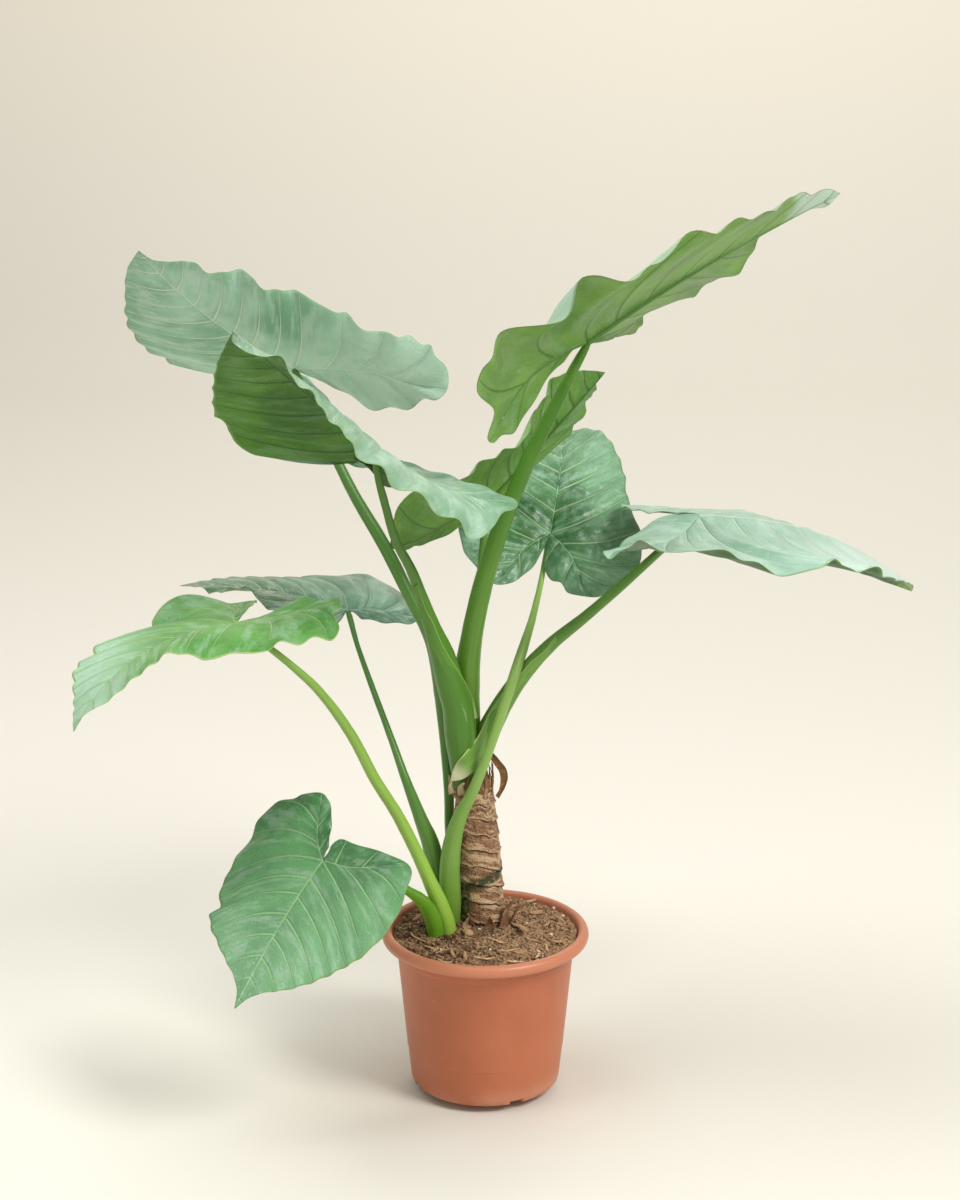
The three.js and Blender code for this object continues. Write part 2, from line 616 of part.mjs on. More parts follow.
// The soil's level at a place: a low mound round the stems over a gently waved surface.
function soilHeight(x, y) {
  const away = Math.hypot(x - SOIL.moundPlace[0], y - SOIL.moundPlace[1]);
  const mound = SOIL.mound * Math.exp(-((away / SOIL.moundSpread) ** 2));
  return SOIL.edge + mound + 0.9 * Math.sin(0.13 * x + 1) * Math.cos(0.11 * y) + 0.6 * Math.sin(0.31 * x - 0.27 * y);
}

// The soil: rings up the inside of the pot's wall, then inwards over its top.
function soilBody() {
  const h = POT.height;
  const t = POT.bodyTopRadius;
  const wall = [
    [SOIL.floorRadius, POT.floor + GAP], [t - 2.6 - GAP, h - 30.2], [t - GAP, h - 24.6], [t + 1 - GAP, h - 15.6],
    [POT.rimRadius - 13.7, h - 8.2],
  ];
  const rings = [];
  const circle = (r, z) => Array.from({ length: SOIL.sides }, (_, j) => {
    const a = 2 * Math.PI * j / SOIL.sides;
    const x = r * Math.cos(a);
    const y = r * Math.sin(a);
    return new THREE.Vector3(x, y, z === null ? soilHeight(x, y) : z);
  });
  for (const [r, z] of wall) rings.push(circle(r, z));
  for (let i = 0; i < SOIL.rings; i++) rings.push(circle((POT.rimRadius - 14) * (1 - i / (SOIL.rings + 0.2)), null));
  return toSolid(skinRings(rings));
}

// Flat chips of bark lying half sunk in the soil.
function barkChip() {
  const length = 7 + 15 * random();
  const a = 2 * Math.PI * random();
  const r = 34 + 60 * Math.sqrt(random());
  const x = r * Math.cos(a);
  const y = r * Math.sin(a);
  const chip = new THREE.BoxGeometry(length, 2.4 + 2.6 * random(), SOIL.chipThickness);
  chip.rotateX(0.5 * (random() - 0.5));
  chip.rotateY(0.3 * (random() - 0.5));
  chip.rotateZ(Math.PI * random());
  chip.translate(x, y, soilHeight(x, y) + 0.3);
  return { solid: toSolid(chip), x, y };
}

// ---------- assembly ----------
const plant = new THREE.Group();

function addPiece(name, solid, colour, roughness) {
  const material = new THREE.MeshStandardMaterial({ color: colour, roughness, metalness: 0 });
  const mesh = new THREE.Mesh(toGeometry(solid), material);
  mesh.name = name;
  plant.add(mesh);
}

const names = Object.keys(LEAVES);
const sheets = {};
for (const name of names) sheets[name] = bladeSheet(LEAVES[name]);

// The trunk, with husks fused to its foot.
let trunk = toSolid(trunkTube(0));
for (const [angle, height, width, lean] of HUSKS) trunk = trunk.add(toSolid(husk(angle, height, width, lean)));
const trunkRoom = toSolid(trunkTube(GAP));

// The stalks, each cut clear of the ones that it presses against and of its own blade.
const rooms = {};
for (const name of names) rooms[name] = toSolid(stalkTube(name, GAP));
const stalks = {};
STALK_ORDER.forEach((name, i) => {
  let solid = toSolid(stalkTube(name, 0));
  for (const other of STALK_ORDER.slice(0, i)) solid = solid.subtract(rooms[other]);
  solid = solid.subtract(trunkRoom);
  for (const room of [GAP / 2, GAP]) {
    solid = solid.subtract(toSolid(thicken(sheets[name], BLADE.thickness + 2 * room)));
  }
  stalks[name] = largestBody(solid);
});

const potSolid = potShell();
let soil = soilBody();
for (let i = 0; i < SOIL.chips; i++) {
  const chip = barkChip();
  if (Math.hypot(chip.x - SOIL.moundPlace[0], chip.y - SOIL.moundPlace[1]) > SOIL.chipClear) soil = soil.add(chip.solid);
}
soil = soil.subtract(trunkRoom);
for (const [angle, height, width, lean] of HUSKS) {
  const room = husk(angle, height + 1, width + 1.5, lean);
  soil = soil.subtract(toSolid(room));
}
for (const name of STALK_ORDER.slice(CROWN_STALKS)) soil = soil.subtract(rooms[name]);
soil = largestBody(soil.subtract(toSolid(drySheath())));

let dry = toSolid(drySheath()).subtract(trunkRoom);
for (const name of STALK_ORDER.slice(0, CROWN_STALKS)) dry = dry.subtract(rooms[name]);

addPiece('pot', potSolid, COLOURS.pot, 0.55);
addPiece('soil', soil, COLOURS.soil, 0.95);
addPiece('trunk', largestBody(trunk), COLOURS.trunk, 0.85);
addPiece('dry_sheath', largestBody(dry), COLOURS.dry, 0.8);
for (const name of names) {
  addPiece(`stalk_${name}`, stalks[name], COLOURS.stalks[name], 0.4);
  addPiece(`blade_${name}`, toSolid(thicken(sheets[name], BLADE.thickness)), COLOURS.blades[name], 0.35);
}

export default plant;
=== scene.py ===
"""A potted alocasia: nine waved, heart-shaped leaves on long stalks, a scarred trunk and a clay-coloured pot.

Measurements are in millimetres, and MM turns them into metres where a mesh is made. +Z is up, and -Y is towards
the viewer. Leaves follow the same midribs, folds and outlines as the frame's solids, with veins, cushions and
ribs added. Colours are screen colours from 0 to 255.
"""
import math

import bmesh
import bpy
import numpy as np
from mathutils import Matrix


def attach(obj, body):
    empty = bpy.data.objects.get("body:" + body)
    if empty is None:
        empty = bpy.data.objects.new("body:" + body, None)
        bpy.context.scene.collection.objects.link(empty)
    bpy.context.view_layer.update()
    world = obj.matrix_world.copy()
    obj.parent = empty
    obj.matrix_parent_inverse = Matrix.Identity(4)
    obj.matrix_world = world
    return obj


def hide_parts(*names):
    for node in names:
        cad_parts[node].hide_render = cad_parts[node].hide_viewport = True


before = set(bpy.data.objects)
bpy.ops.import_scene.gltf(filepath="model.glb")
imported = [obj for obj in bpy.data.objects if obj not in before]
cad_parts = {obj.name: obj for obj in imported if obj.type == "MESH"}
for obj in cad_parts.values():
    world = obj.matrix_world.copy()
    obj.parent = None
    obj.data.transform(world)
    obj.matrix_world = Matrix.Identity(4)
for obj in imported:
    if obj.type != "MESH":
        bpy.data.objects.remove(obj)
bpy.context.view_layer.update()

# ---------- measurements ----------
MM = 0.001
TURN = 2 * math.pi
POT = {
    "height": 188.0, "rim_radius": 120.0, "base_radius": 86.4, "body_top_radius": 101.8, "floor": 4.0,
    "notch_width": 17.0, "notch_height": 6.0, "first_notch": -65.0, "columns": 240,
}
SOIL = {
    "edge": 181.0, "mound": 9.0, "mound_width": 52.0, "radius": 105.6, "loose_radius": 103.5, "rings": 90,
    "columns": 220, "wall": [(86.0, 30.0), (100.4, 160.0), (101.4, 166.0), (104.4, 177.5)],
}
TRUNK = {
    "foot": (-1, 20, 168), "mid": (-8, 18, 285), "top": (-14, 14, 364.6), "radii": (25.5, 25.0, 21.5),
    "scars": 9.5, "scar_depth": 1.5, "scar_tilt": 7.0, "lip": 0.9, "groove": 1.3, "rows": 300, "columns": 132,
    "fibres": 46,
}
STALK = {
    "rows": 260, "columns": 36, "ridges": (0.9, 3.9), "ridge_height": 0.055, "sheath_end": 0.35, "elbow": 0.62,
    "groove": 0.05, "unevenness": 0.18,
}
BLADE = {
    "thickness": 0.9, "vein_angle": 52.0, "outline_points": 900, "rows": 170, "across": 36, "scallop": 0.9,
    "uneven_scallop": 1.3, "scallop_scale": 130, "edge_wave": 1.6, "cushions": (13.0, 7.0),
}
RIB = {
    "sides": 17, "sink": 0.3, "flush": 0.3, "midrib_rows": 110, "midrib_least": 0.45, "lobe_rows": 70,
    "lobe_least": 0.3,
}
# In metres: points of a mesh closer than MERGE become one, and edges shorter than SLIVER_EDGE go.
MERGE, SLIVER_EDGE = 2e-6, 1e-7
CAMERA = {"place": (-6.1, -2894.0, 1418.0), "pitch": 16.14, "lens": 81.0}

# Dry husks round the trunk's foot: angle, height, width and lean. Knobs of dead tissue high on its front:
# place and size. Strips of cream tissue round its collar: three points each, and a width.
HUSKS = [(-122, 28, 15, 14), (-80, 26, 15, 16), (-40, 36, 17, 9), (-8, 30, 14, 24), (150, 26, 15, 10)]
KNOBS = [((-1, -3, 347), (2.6, 2.0, 3.2)), ((4, -1, 341), (1.8, 1.6, 2.4)), ((7, 2, 334), (2.8, 2.0, 2.8)),
         ((2, -4, 328), (1.8, 1.6, 2.2)), ((8, 0, 320), (2.6, 1.8, 3.4)), ((-5, -6, 337), (1.6, 1.4, 1.8))]
COLLAR = [
    ([(-38, -4, 352), (-40, -7, 362), (-38, -9, 370)], 7),
    ([(-26, -8, 352), (-28, -12, 362), (-24, -15, 369)], 11),
    ([(-12, -8, 354), (-9, -12, 364), (-6, -14, 372)], 8),
    ([(-36, 4, 356), (-40, 0, 366), (-41, -4, 374)], 6),
]
# Strips on the trunk's foot: three points, how late each narrows, the way that it is wide and its material.
FOOT_STRIPS = [
    ([(16, 4, 188), (23, 6, 203), (35, 8, 217)], 3, (0.5, -0.8, 0.5), 1),
    ([(-21, -8, 184), (-23, -12, 197), (-19, -15, 205)], 2, (1, 0.2, 0), 2),
]
DRY_SHEATH = {
    "route": [(6, 11, 396), (13, 10, 387), (20, 10, 377), (22, 10, 366), (19, 11, 352), (14, 12, 342)],
    "width": 10.0, "thickness": 1.1,
}
# Loose pieces on the soil: how many, their sizes from and to, the seed, the material number and their stretch.
LOOSE = [
    (2300, (0.9, 3.1), 1, 0, (1, 1, 0.8)), (900, (1.0, 2.8), 2, 1, (1.3, 0.8, 0.6)),
    (260, (2.0, 5.0), 3, 2, (2.2, 0.35, 0.3)), (60, (1.0, 2.2), 4, 3, (1.3, 0.8, 0.6)),
]
WHITE_BITS = [(81, 68), (4, -61), (15, -63), (34, -89), (60, -60), (-50, -60), (48, 20), (76, -12)]
# Slivers on the soil: place, length, width, the way they lie, and how far their first end is raised.
SLIVERS = [
    (40, -6, 40, 6, 115, 7), (56, 88, 20, 4, 36, 1), (-17, 2, 18, 4, -70, 2), (-20, -27, 16, 7, -57, 1),
    (-78, -30, 32, 1.6, -55, 1), (-37, -72, 20, 3, -75, 1), (-23, -80, 20, 3, -85, 1), (70, -56, 16, 2.2, -85, 2),
    (59, -77, 18, 2.2, 75, 2), (28, -62, 22, 1.6, 20, 1), (52, -30, 20, 1.6, -35, 1), (-2, -84, 24, 1.5, 8, 1),
    (72, 14, 18, 1.8, 70, 1), (34, -94, 20, 1.5, 10, 1), (-62, -56, 18, 1.8, -30, 1), (12, -42, 22, 1.4, -15, 2),
    (84, -36, 16, 3, 15, 1), (-46, -92, 16, 1.6, -15, 1), (60, 50, 18, 5, 30, 1), (-20, 80, 20, 5, -10, 1),
    (-80, 30, 16, 4, 60, 1), (30, 70, 14, 4, 0, 1), (-52, 74, 15, 4, 35, 1), (88, 28, 12, 3, -50, 1),
]

# Each leaf blade: where its stalk joins it, a point that bends its midrib, and its tip; the way its upper face
# looks at the joint and at the tip (degrees round from the viewer, degrees up); how far each half folds up from
# the midrib and curls further out, and how far the back lobes bend down in an arc (degrees); the outline of each
# half from the tip round to the notch, as (along the midrib, out from it, lift of the ruffled edge).
LEAVES = {
    "top_left": {
        "junction": (-216, 112, 821), "bend": (-310, 62, 876), "tip": (-376, 20, 969),
        "face": [(-51, 14), (-29, 14)], "fold": (-3, 14), "curl": (-25, -22), "droop": -15, "half_width": 130,
        "left": [(238, 0, 0), (222, 31, -1), (198, 57, 1), (159, 96, 8), (134, 110, 10), (115, 116, 10),
            (102, 115, 3), (86, 118, 6), (70, 102, -23), (37, 116, -22), (-4, 125, -1), (-44, 128, 10),
            (-81, 118, 10), (-103, 102, 2), (-75, 26, 8), (-19, 6, -2)],
        "right": [(238, 0, 0), (224, 10, 4), (197, 47, -3), (181, 57, 4), (155, 87, -5), (129, 94, 6),
            (92, 114, -2), (37, 124, 4), (21, 127, -3), (-10, 122, 5), (-34, 131, -1), (-48, 134, 1),
            (-60, 138, -5), (-80, 136, -5), (-87, 140, -9), (-97, 136, -4), (-116, 133, -4), (-131, 119, -7),
            (-137, 107, -2), (-134, 94, 6), (-129, 75, 0), (-126, 46, 1), (-115, 29, 0), (-98, 17, 8),
            (-68, 10, 4)],
    },
    "curled_left": {
        "junction": (-120, -75, 770), "bend": (-213, -152, 875), "tip": (-251, -247, 929),
        "face": [(112, 48), (104, 48)], "fold": (14, -54), "curl": (-52, 18), "droop": -33, "half_width": 124,
        "left": [(271, 0, 0), (264, 3, -9), (251, 17, -10), (237, 26, -5), (225, 37, 7), (200, 57, -2),
            (181, 68, 3), (150, 84, -2), (119, 99, 1), (84, 110, -5), (55, 111, 4), (30, 115, -3), (-8, 111, 7),
            (-39, 113, 1), (-70, 109, 1), (-92, 119, -8), (-108, 114, -5), (-119, 103, -1), (-140, 80, 2),
            (-155, 74, 1), (-163, 61, -1), (-149, 30, 1), (-109, 15, 9), (-63, 7, 10)],
        "right": [(271, 0, 0), (166, 77, -1), (120, 104, -5), (98, 109, -2), (74, 114, -8), (50, 111, -3),
            (44, 104, -1), (39, 92, 10), (21, 77, 25), (6, 84, 37), (-5, 19, -4), (-58, 13, -13), (-63, 7, -6),
            (-64, 0, 3), (-52, 0, 7), (-27, 0, 5)],
    },
    "top_right": {
        "junction": (110, -20, 877), "bend": (216, -48, 962), "tip": (385, 46, 1027),
        "face": [(186, 67), (203, 51)], "fold": (8, -6), "curl": (15, 1), "droop": 62, "half_width": 173,
        "left": [(328, 0, 0), (313, 13, -4), (297, 27, 13), (291, 32, 10), (281, 43, 20), (270, 56, 8),
            (257, 69, 5), (246, 79, -7), (218, 100, -20), (202, 114, -12), (163, 134, -17), (118, 156, 0),
            (77, 168, 5), (31, 179, -5), (-7, 176, 3), (-20, 172, 17)],
        "right": [(328, 0, 0), (307, 26, 5), (282, 48, 2), (261, 72, 5), (229, 96, -4), (203, 115, -4),
            (193, 120, 1), (168, 135, -3), (144, 147, 8), (114, 154, -8), (105, 156, -6), (94, 157, -11),
            (85, 164, -9), (69, 176, 11), (58, 178, 15), (31, 169, -16), (-24, 177, 9), (-46, 169, 0),
            (-64, 163, 3), (-88, 151, 0), (-97, 116, -9), (-138, 91, 4), (-138, 81, 0), (-130, 64, 2),
            (-120, 42, -4), (-104, 35, -7)],
    },
    "back": {
        "junction": (5, 66, 677), "bend": (86, 70, 769), "tip": (133, 63, 826), "face": [(184, 39), (184, 45)],
        "fold": (29, -5), "curl": (18, -40), "droop": -28, "half_width": 92,
        "left": [(197, 0, 0), (181, 1, 7), (165, 23, 2), (139, 43, 7), (123, 59, -4), (110, 63, 4),
            (98, 71, -3), (65, 81, 10), (40, 88, 12), (2, 89, 7)],
        "right": [(197, 0, 0), (178, 36, 5), (145, 60, 15), (134, 57, 4), (108, 66, -2), (94, 63, -14),
            (73, 67, -23), (55, 75, -11), (47, 79, -14), (30, 87, 4), (21, 90, -1), (9, 92, 4), (-48, 91, 50),
            (-120, 40, 1), (-112, 26, -2), (-100, 22, 2), (-93, 19, -2), (-21, 3, -2)],
    },
    "center": {
        "junction": (75, 132, 622), "bend": (93, 196, 694), "tip": (93, 307, 700), "face": [(5, 52), (-23, 58)],
        "fold": (12, 18), "curl": (-12, -48), "droop": -10, "half_width": 106,
        "left": [(198, 0, 0), (183, 20, 3), (155, 48, 1), (119, 73, 0), (74, 93, -2), (22, 105, 1),
            (-8, 107, 0), (-37, 99, 0), (-53, 89, 1), (-82, 51, -1), (-77, 34, 1), (-47, 12, -1)],
        "right": [(198, 0, 0), (163, 48, 5), (101, 76, -2), (64, 84, -2), (17, 110, 0), (-6, 113, 1),
            (-55, 91, -1), (-74, 64, 0), (-76, 35, 0), (-64, 24, 0), (-62, 13, -1), (-40, 0, 0)],
    },
    "right": {
        "junction": (236, 10, 675), "bend": (390, -38, 687), "tip": (490, 90, 565), "face": [(3, 82), (-7, 83)],
        "fold": (-19, -13), "curl": (0, 40), "droop": -2, "half_width": 158,
        "left": [(315, 0, 0), (252, 57, 0), (189, 98, 0), (126, 126, 0), (63, 139, 0), (0, 139, 0),
            (-114, 112, 7), (-60, 16, 3), (-31, 7, 3)],
        "right": [(315, 0, 0), (175, 114, 0), (163, 122, 7), (147, 128, -1), (133, 135, 2), (125, 138, 11),
            (113, 143, -4), (87, 151, -17), (66, 155, -6), (55, 157, -6), (42, 158, 7), (5, 159, -2),
            (-26, 158, 13), (-37, 158, 4), (-54, 150, 0), (-65, 149, -8), (-71, 146, -2), (-70, 23, -10),
            (-18, 2, 6)],
    },
    "left_front": {
        "junction": (-272, -85, 578), "bend": (-393, -139, 576), "tip": (-430, -228, 503),
        "face": [(-75, 57), (-73, 55)], "fold": (17, 6), "curl": (-43, -11), "droop": -20, "half_width": 122,
        "left": [(235, 0, 0), (220, 14, 2), (201, 36, -5), (149, 75, 2), (125, 87, 7), (84, 112, -6),
            (49, 120, 0), (5, 121, -1), (-11, 117, 5), (-32, 119, 0), (-49, 115, 2), (-68, 118, -8),
            (-82, 108, -5), (-84, 87, 3), (-97, 74, 0), (-103, 41, 0), (-86, 25, 2), (-72, 17, 11),
            (-35, 7, 2)],
        "right": [(235, 0, 0), (188, 39, -4), (137, 88, 5), (119, 94, -2), (111, 101, 5), (49, 117, -12),
            (45, 120, -1), (12, 126, 17), (-25, 120, -4), (-59, 110, -8), (-15, 10, 9)],
    },
    "left_back": {
        "junction": (-160, 112, 535), "bend": (-240, 124, 564), "tip": (-353, 113, 565),
        "face": [(-26, 68), (-20, 91)], "fold": (12, -3), "curl": (6, -22), "droop": 2, "half_width": 98,
        "left": [(197, 0, 0), (174, 24, -1), (166, 30, -6), (122, 62, 10), (103, 75, -3), (71, 88, -3),
            (49, 94, 0), (32, 95, 7)],
        "right": [(197, 0, 0), (152, 44, 1), (77, 86, -4), (40, 97, -1), (6, 98, 2), (-30, 96, 2),
            (-52, 82, -4), (-77, 28, 1), (-14, 0, -4)],
    },
    "low_front": {
        "junction": (-179, -115, 315), "bend": (-227, -141, 254), "tip": (-272, -208, 180),
        "face": [(-26, 28), (-8, 23)], "fold": (4, 3), "curl": (-24, -31), "droop": 3, "half_width": 107,
        "left": [(190, 0, 0), (173, 11, 1), (143, 51, -1), (113, 77, -1), (70, 99, -1), (11, 107, -1),
            (-28, 99, 0), (-50, 86, -1), (-34, 15, -2), (-30, 4, 3), (-15, 0, 7)],
        "right": [(190, 0, 0), (170, 9, 0), (115, 81, 3), (106, 77, -2), (85, 91, 1), (64, 96, -2),
            (50, 102, 1), (25, 102, -4), (6, 109, 4), (-20, 104, 2), (-35, 86, -4), (-46, 76, 1), (-59, 48, 1),
            (-51, 30, 0), (-16, 5, 0)],
    },
}

# Each leaf stalk from its foot up to its blade, as (x, y, z, radius).
STALKS = {
    "top_left": [(-31, 46, 163, 7.1), (-34, 43, 228, 6.4), (-41, 38, 292, 5.8), (-42, 34, 343, 5.8),
        (-51, 32, 453, 6.8), (-62, 32, 524, 7.4), (-85, 38, 573, 7.3), (-113, 52, 627, 7.3),
        (-151, 72, 689, 6.2), (-189, 98, 764, 4.8), (-215, 113, 817, 3.7)],
    "curled_left": [(-23, 8, 360, 13.7), (-25, 6, 387, 15.9), (-28, 2, 421, 18.1), (-31, 0, 454, 17.5),
        (-40, -3, 485, 15.7), (-48, -6, 517, 14), (-60, -11, 554, 9.5), (-71, -18, 590, 6.9),
        (-82, -27, 623, 5.8), (-98, -45, 661, 4.9), (-110, -62, 711, 4.3), (-115, -70, 735, 4),
        (-119, -74, 762, 3.4)],
    "top_right": [(-18, 22, 354, 12.6), (-19, 24, 389, 14.9), (-22, 24, 437, 15.9), (-21, 20, 486, 14.7),
        (-16, 14, 530, 12.4), (-3, 6, 596, 11.2), (16, 0, 661, 10), (47, -8, 743, 8.5), (72, -13, 797, 7.1),
        (93, -17, 841, 5.7), (108, -20, 870, 4.1)],
    "back": [(-18, 30, 356, 5.2), (-16, 38, 408, 4.9), (-14, 40, 462, 4.6), (-12, 38, 522, 4.5),
        (-6, 38, 593, 4.2), (-3, 47, 631, 3.9), (5, 64, 675, 3.7)],
    "center": [(-39, 12, 173, 8.7), (-39, 8, 190, 9.9), (-40, 2, 220, 12.1), (-41, -6, 260, 11.8),
        (-37, -10, 298, 10.3), (-28, -16, 331, 8), (-17, -20, 355, 6.8), (0, -22, 399, 5.6),
        (23, -12, 467, 5.9), (40, 14, 512, 5.9), (53, 52, 542, 4.3), (64, 97, 574, 3.2), (73, 129, 614, 2.7)],
    "right": [(-19, 10, 359, 11.4), (-10, 13, 387, 13.7), (4, 15, 422, 13.1), (21, 15, 456, 11.3),
        (40, 13, 486, 9.6), (72, 10, 524, 7.9), (114, 10, 560, 6.2), (155, 10, 597, 5.3), (193, 10, 633, 4.5),
        (235, 10, 672, 3.9)],
    "left_front": [(-42, -12, 173, 9.2), (-44, -13, 195, 9.8), (-51, -17, 221, 9.2), (-61, -23, 247, 8.3),
        (-74, -30, 282, 7.4), (-99, -38, 339, 6.8), (-123, -47, 384, 6.4), (-151, -60, 446, 5.8),
        (-184, -71, 498, 4.9), (-214, -78, 530, 4.1), (-243, -83, 556, 3.5), (-273, -86, 579, 3.3)],
    "left_back": [(-55, 10, 176, 8.1), (-57, 10, 229, 9.2), (-61, 12, 277, 10.4), (-76, 14, 320, 7.5),
        (-91, 18, 361, 5.4), (-108, 36, 405, 4), (-129, 64, 454, 3.5), (-148, 93, 499, 2.9),
        (-159, 112, 532, 2.9)],
    "low_front": [(-57, -18, 173, 8.6), (-58, -21, 197, 9.8), (-64, -28, 218, 9.1), (-73, -41, 237, 7.7),
        (-86, -59, 255, 5.6), (-112, -84, 284, 4.5), (-139, -98, 302, 3.9), (-161, -108, 310, 3.3),
        (-177, -114, 314, 3.3)],
}

# Sheaths that wrap the crown: the line that each wraps from, and its free front edge.
SHEATHS = {
    "right": (
        [(81, 2.0, 533.2), (71, 4.2, 513.7), (58, 3.5, 499.8), (51, 4.8, 490.0), (32, 3.5, 467.9),
         (22, 4.2, 445.0), (14, 7.0, 417.8), (4, 4.8, 392.1), (-11, -12.5, 383.8), (-25, -13.0, 373.2),
         (-38, -7.0, 368.3)],
        [(79, 4.0, 537.9), (66, 1.8, 521.2), (51, 3.5, 507.5), (44, 3.5, 499.0), (23, 6.0, 474.6),
         (13, 6.5, 459.7), (3, 7.0, 443.4), (-9, -2.5, 421.0), (-25, -14.0, 403.1), (-34, -9.0, 388.6),
         (-40, -6.0, 368.7)],
    ),
    "curled": (
        [(-80, -27.5, 603.4), (-76, -22.8, 587.1), (-73, -19.5, 571.1), (-68, -17.0, 554.2),
         (-61, -18.5, 533.7), (-52, -19.8, 514.2), (-43, -19.5, 495.4), (-33, -18.2, 475.0),
         (-25, -16.8, 456.8), (-21, -15.0, 442.0)],
        [(-75, -29.8, 607.5), (-70, -25.8, 590.3), (-65, -23.8, 575.3), (-58, -21.2, 561.2),
         (-50, -19.8, 539.9), (-40, -18.0, 519.5), (-30, -11.8, 501.1), (-20, -1.7, 477.9), (-13, -0.0, 458.3),
         (-9, 0.9, 441.4)],
    ),
}


# ---------- curves and noise ----------
def unit(vectors):
    """Each vector divided by its length."""
    return vectors / np.maximum(np.linalg.norm(vectors, axis=-1, keepdims=True), 1e-12)


def spread(*parts):
    """Arrays stretched over one grid and stacked as the coordinates of its points."""
    return np.stack(np.broadcast_arrays(*parts), axis=-1)


def level_way(degrees):
    """The level direction that many degrees round from +X."""
    return np.array([math.cos(math.radians(degrees)), math.sin(math.radians(degrees)), 0])


def hump(x, centre, width):
    """A smooth hump of height 1 round a centre: e to the minus square of the distance over the width."""
    return np.exp(-(((x - centre) / width) ** 2))


def ease(x):
    """A smooth step from 0 to 1."""
    x = np.clip(x, 0, 1)
    return x * x * (3 - 2 * x)


def smooth_curve(stations, steps):
    """A centripetal Catmull-Rom curve through the stations, with the same number of steps between each two."""
    p = np.asarray(stations, float)
    p = np.vstack([2 * p[0] - p[1], p, 2 * p[-1] - p[-2]])
    gap = np.maximum(np.linalg.norm(np.diff(p, axis=0), axis=1), 1e-6)[:, None] ** 0.5
    slope = np.diff(p, axis=0) / gap
    across = (p[2:] - p[:-2]) / (gap[:-1] + gap[1:])
    bend = slope[:-1] - across + slope[1:]
    start, end = bend[:-1] * gap[1:-1], bend[1:] * gap[1:-1]
    a, b = p[1:-2], p[2:-1]
    t = np.linspace(0, 1, steps, endpoint=False)[:, None, None]
    curve = a + start * t + (3 * (b - a) - 2 * start - end) * t**2 + (2 * (a - b) + start + end) * t**3
    return np.vstack([curve.transpose(1, 0, 2).reshape(-1, p.shape[1]), p[-2:-1]])


def walked(points):
    """The length walked along a line of points, at each of them."""
    return np.r_[0, np.cumsum(np.linalg.norm(np.diff(points, axis=0), axis=1))]


def resample(points, count, dimensions=3):
    """The same line with its points at even steps of its length, measured in its first dimensions."""
    at = walked(points[:, :dimensions])
    even = np.linspace(0, at[-1], count)
    return spread(*(np.interp(even, at, column) for column in points.T))


def bezier(a, b, c, k):
    """Points at the shares k of a quadratic curve from a to c that b bends."""
    k = np.asarray(k, float)[..., None]
    return (1 - k) ** 2 * np.array(a, float) + 2 * k * (1 - k) * np.array(b, float) + k**2 * np.array(c, float)


LATTICE = np.random.default_rng(5).random((32, 32, 32))


def noise(points, size, seed=0):
    """Smooth random values from -1 to 1: a lattice of random numbers, one per size, with eased steps between."""
    p = np.asarray(points, float) / size + 7.31 * seed + 100
    cell = np.floor(p).astype(int)
    f = ease(p - cell)
    total = 0
    for corner in np.ndindex(2, 2, 2):
        shift = np.array(corner[::-1])
        at = (cell + shift) % len(LATTICE)
        weight = np.prod(np.where(shift, f, 1 - f), axis=-1)
        total = total + weight * LATTICE[at[..., 0], at[..., 1], at[..., 2]]
    return 2 * total - 1


# ---------- meshes ----------
def grid_faces(rows, columns, closed=False, start=0):
    """Quads between neighbouring rows and columns of a grid. A closed grid joins its last column to its first."""
    i, j = np.meshgrid(np.arange(rows - 1), np.arange(columns if closed else columns - 1), indexing="ij")
    a = i * columns + j
    b = i * columns + (j + 1) % columns
    return start + np.stack([a, b, b + columns, a + columns], axis=-1).reshape(-1, 4)


def closed_ends(rings):
    """Rings of points with one more at each end, drawn together to a point."""
    first, last = (np.broadcast_to(rings[k].mean(axis=0), rings[0].shape)[None] for k in (0, -1))
    return np.concatenate([first, rings, last])


def two_faced(sheet, half):
    """Rings round a sheet: out along its upper face and back along its lower one, half the thickness away."""
    return np.concatenate([sheet + half, (sheet - half)[:, ::-1]], axis=1)


def show(name, mesh):
    """Puts a mesh into the scene as an object of that name."""
    piece = bpy.data.objects.new(name, mesh)
    bpy.context.scene.collection.objects.link(piece)
    return piece


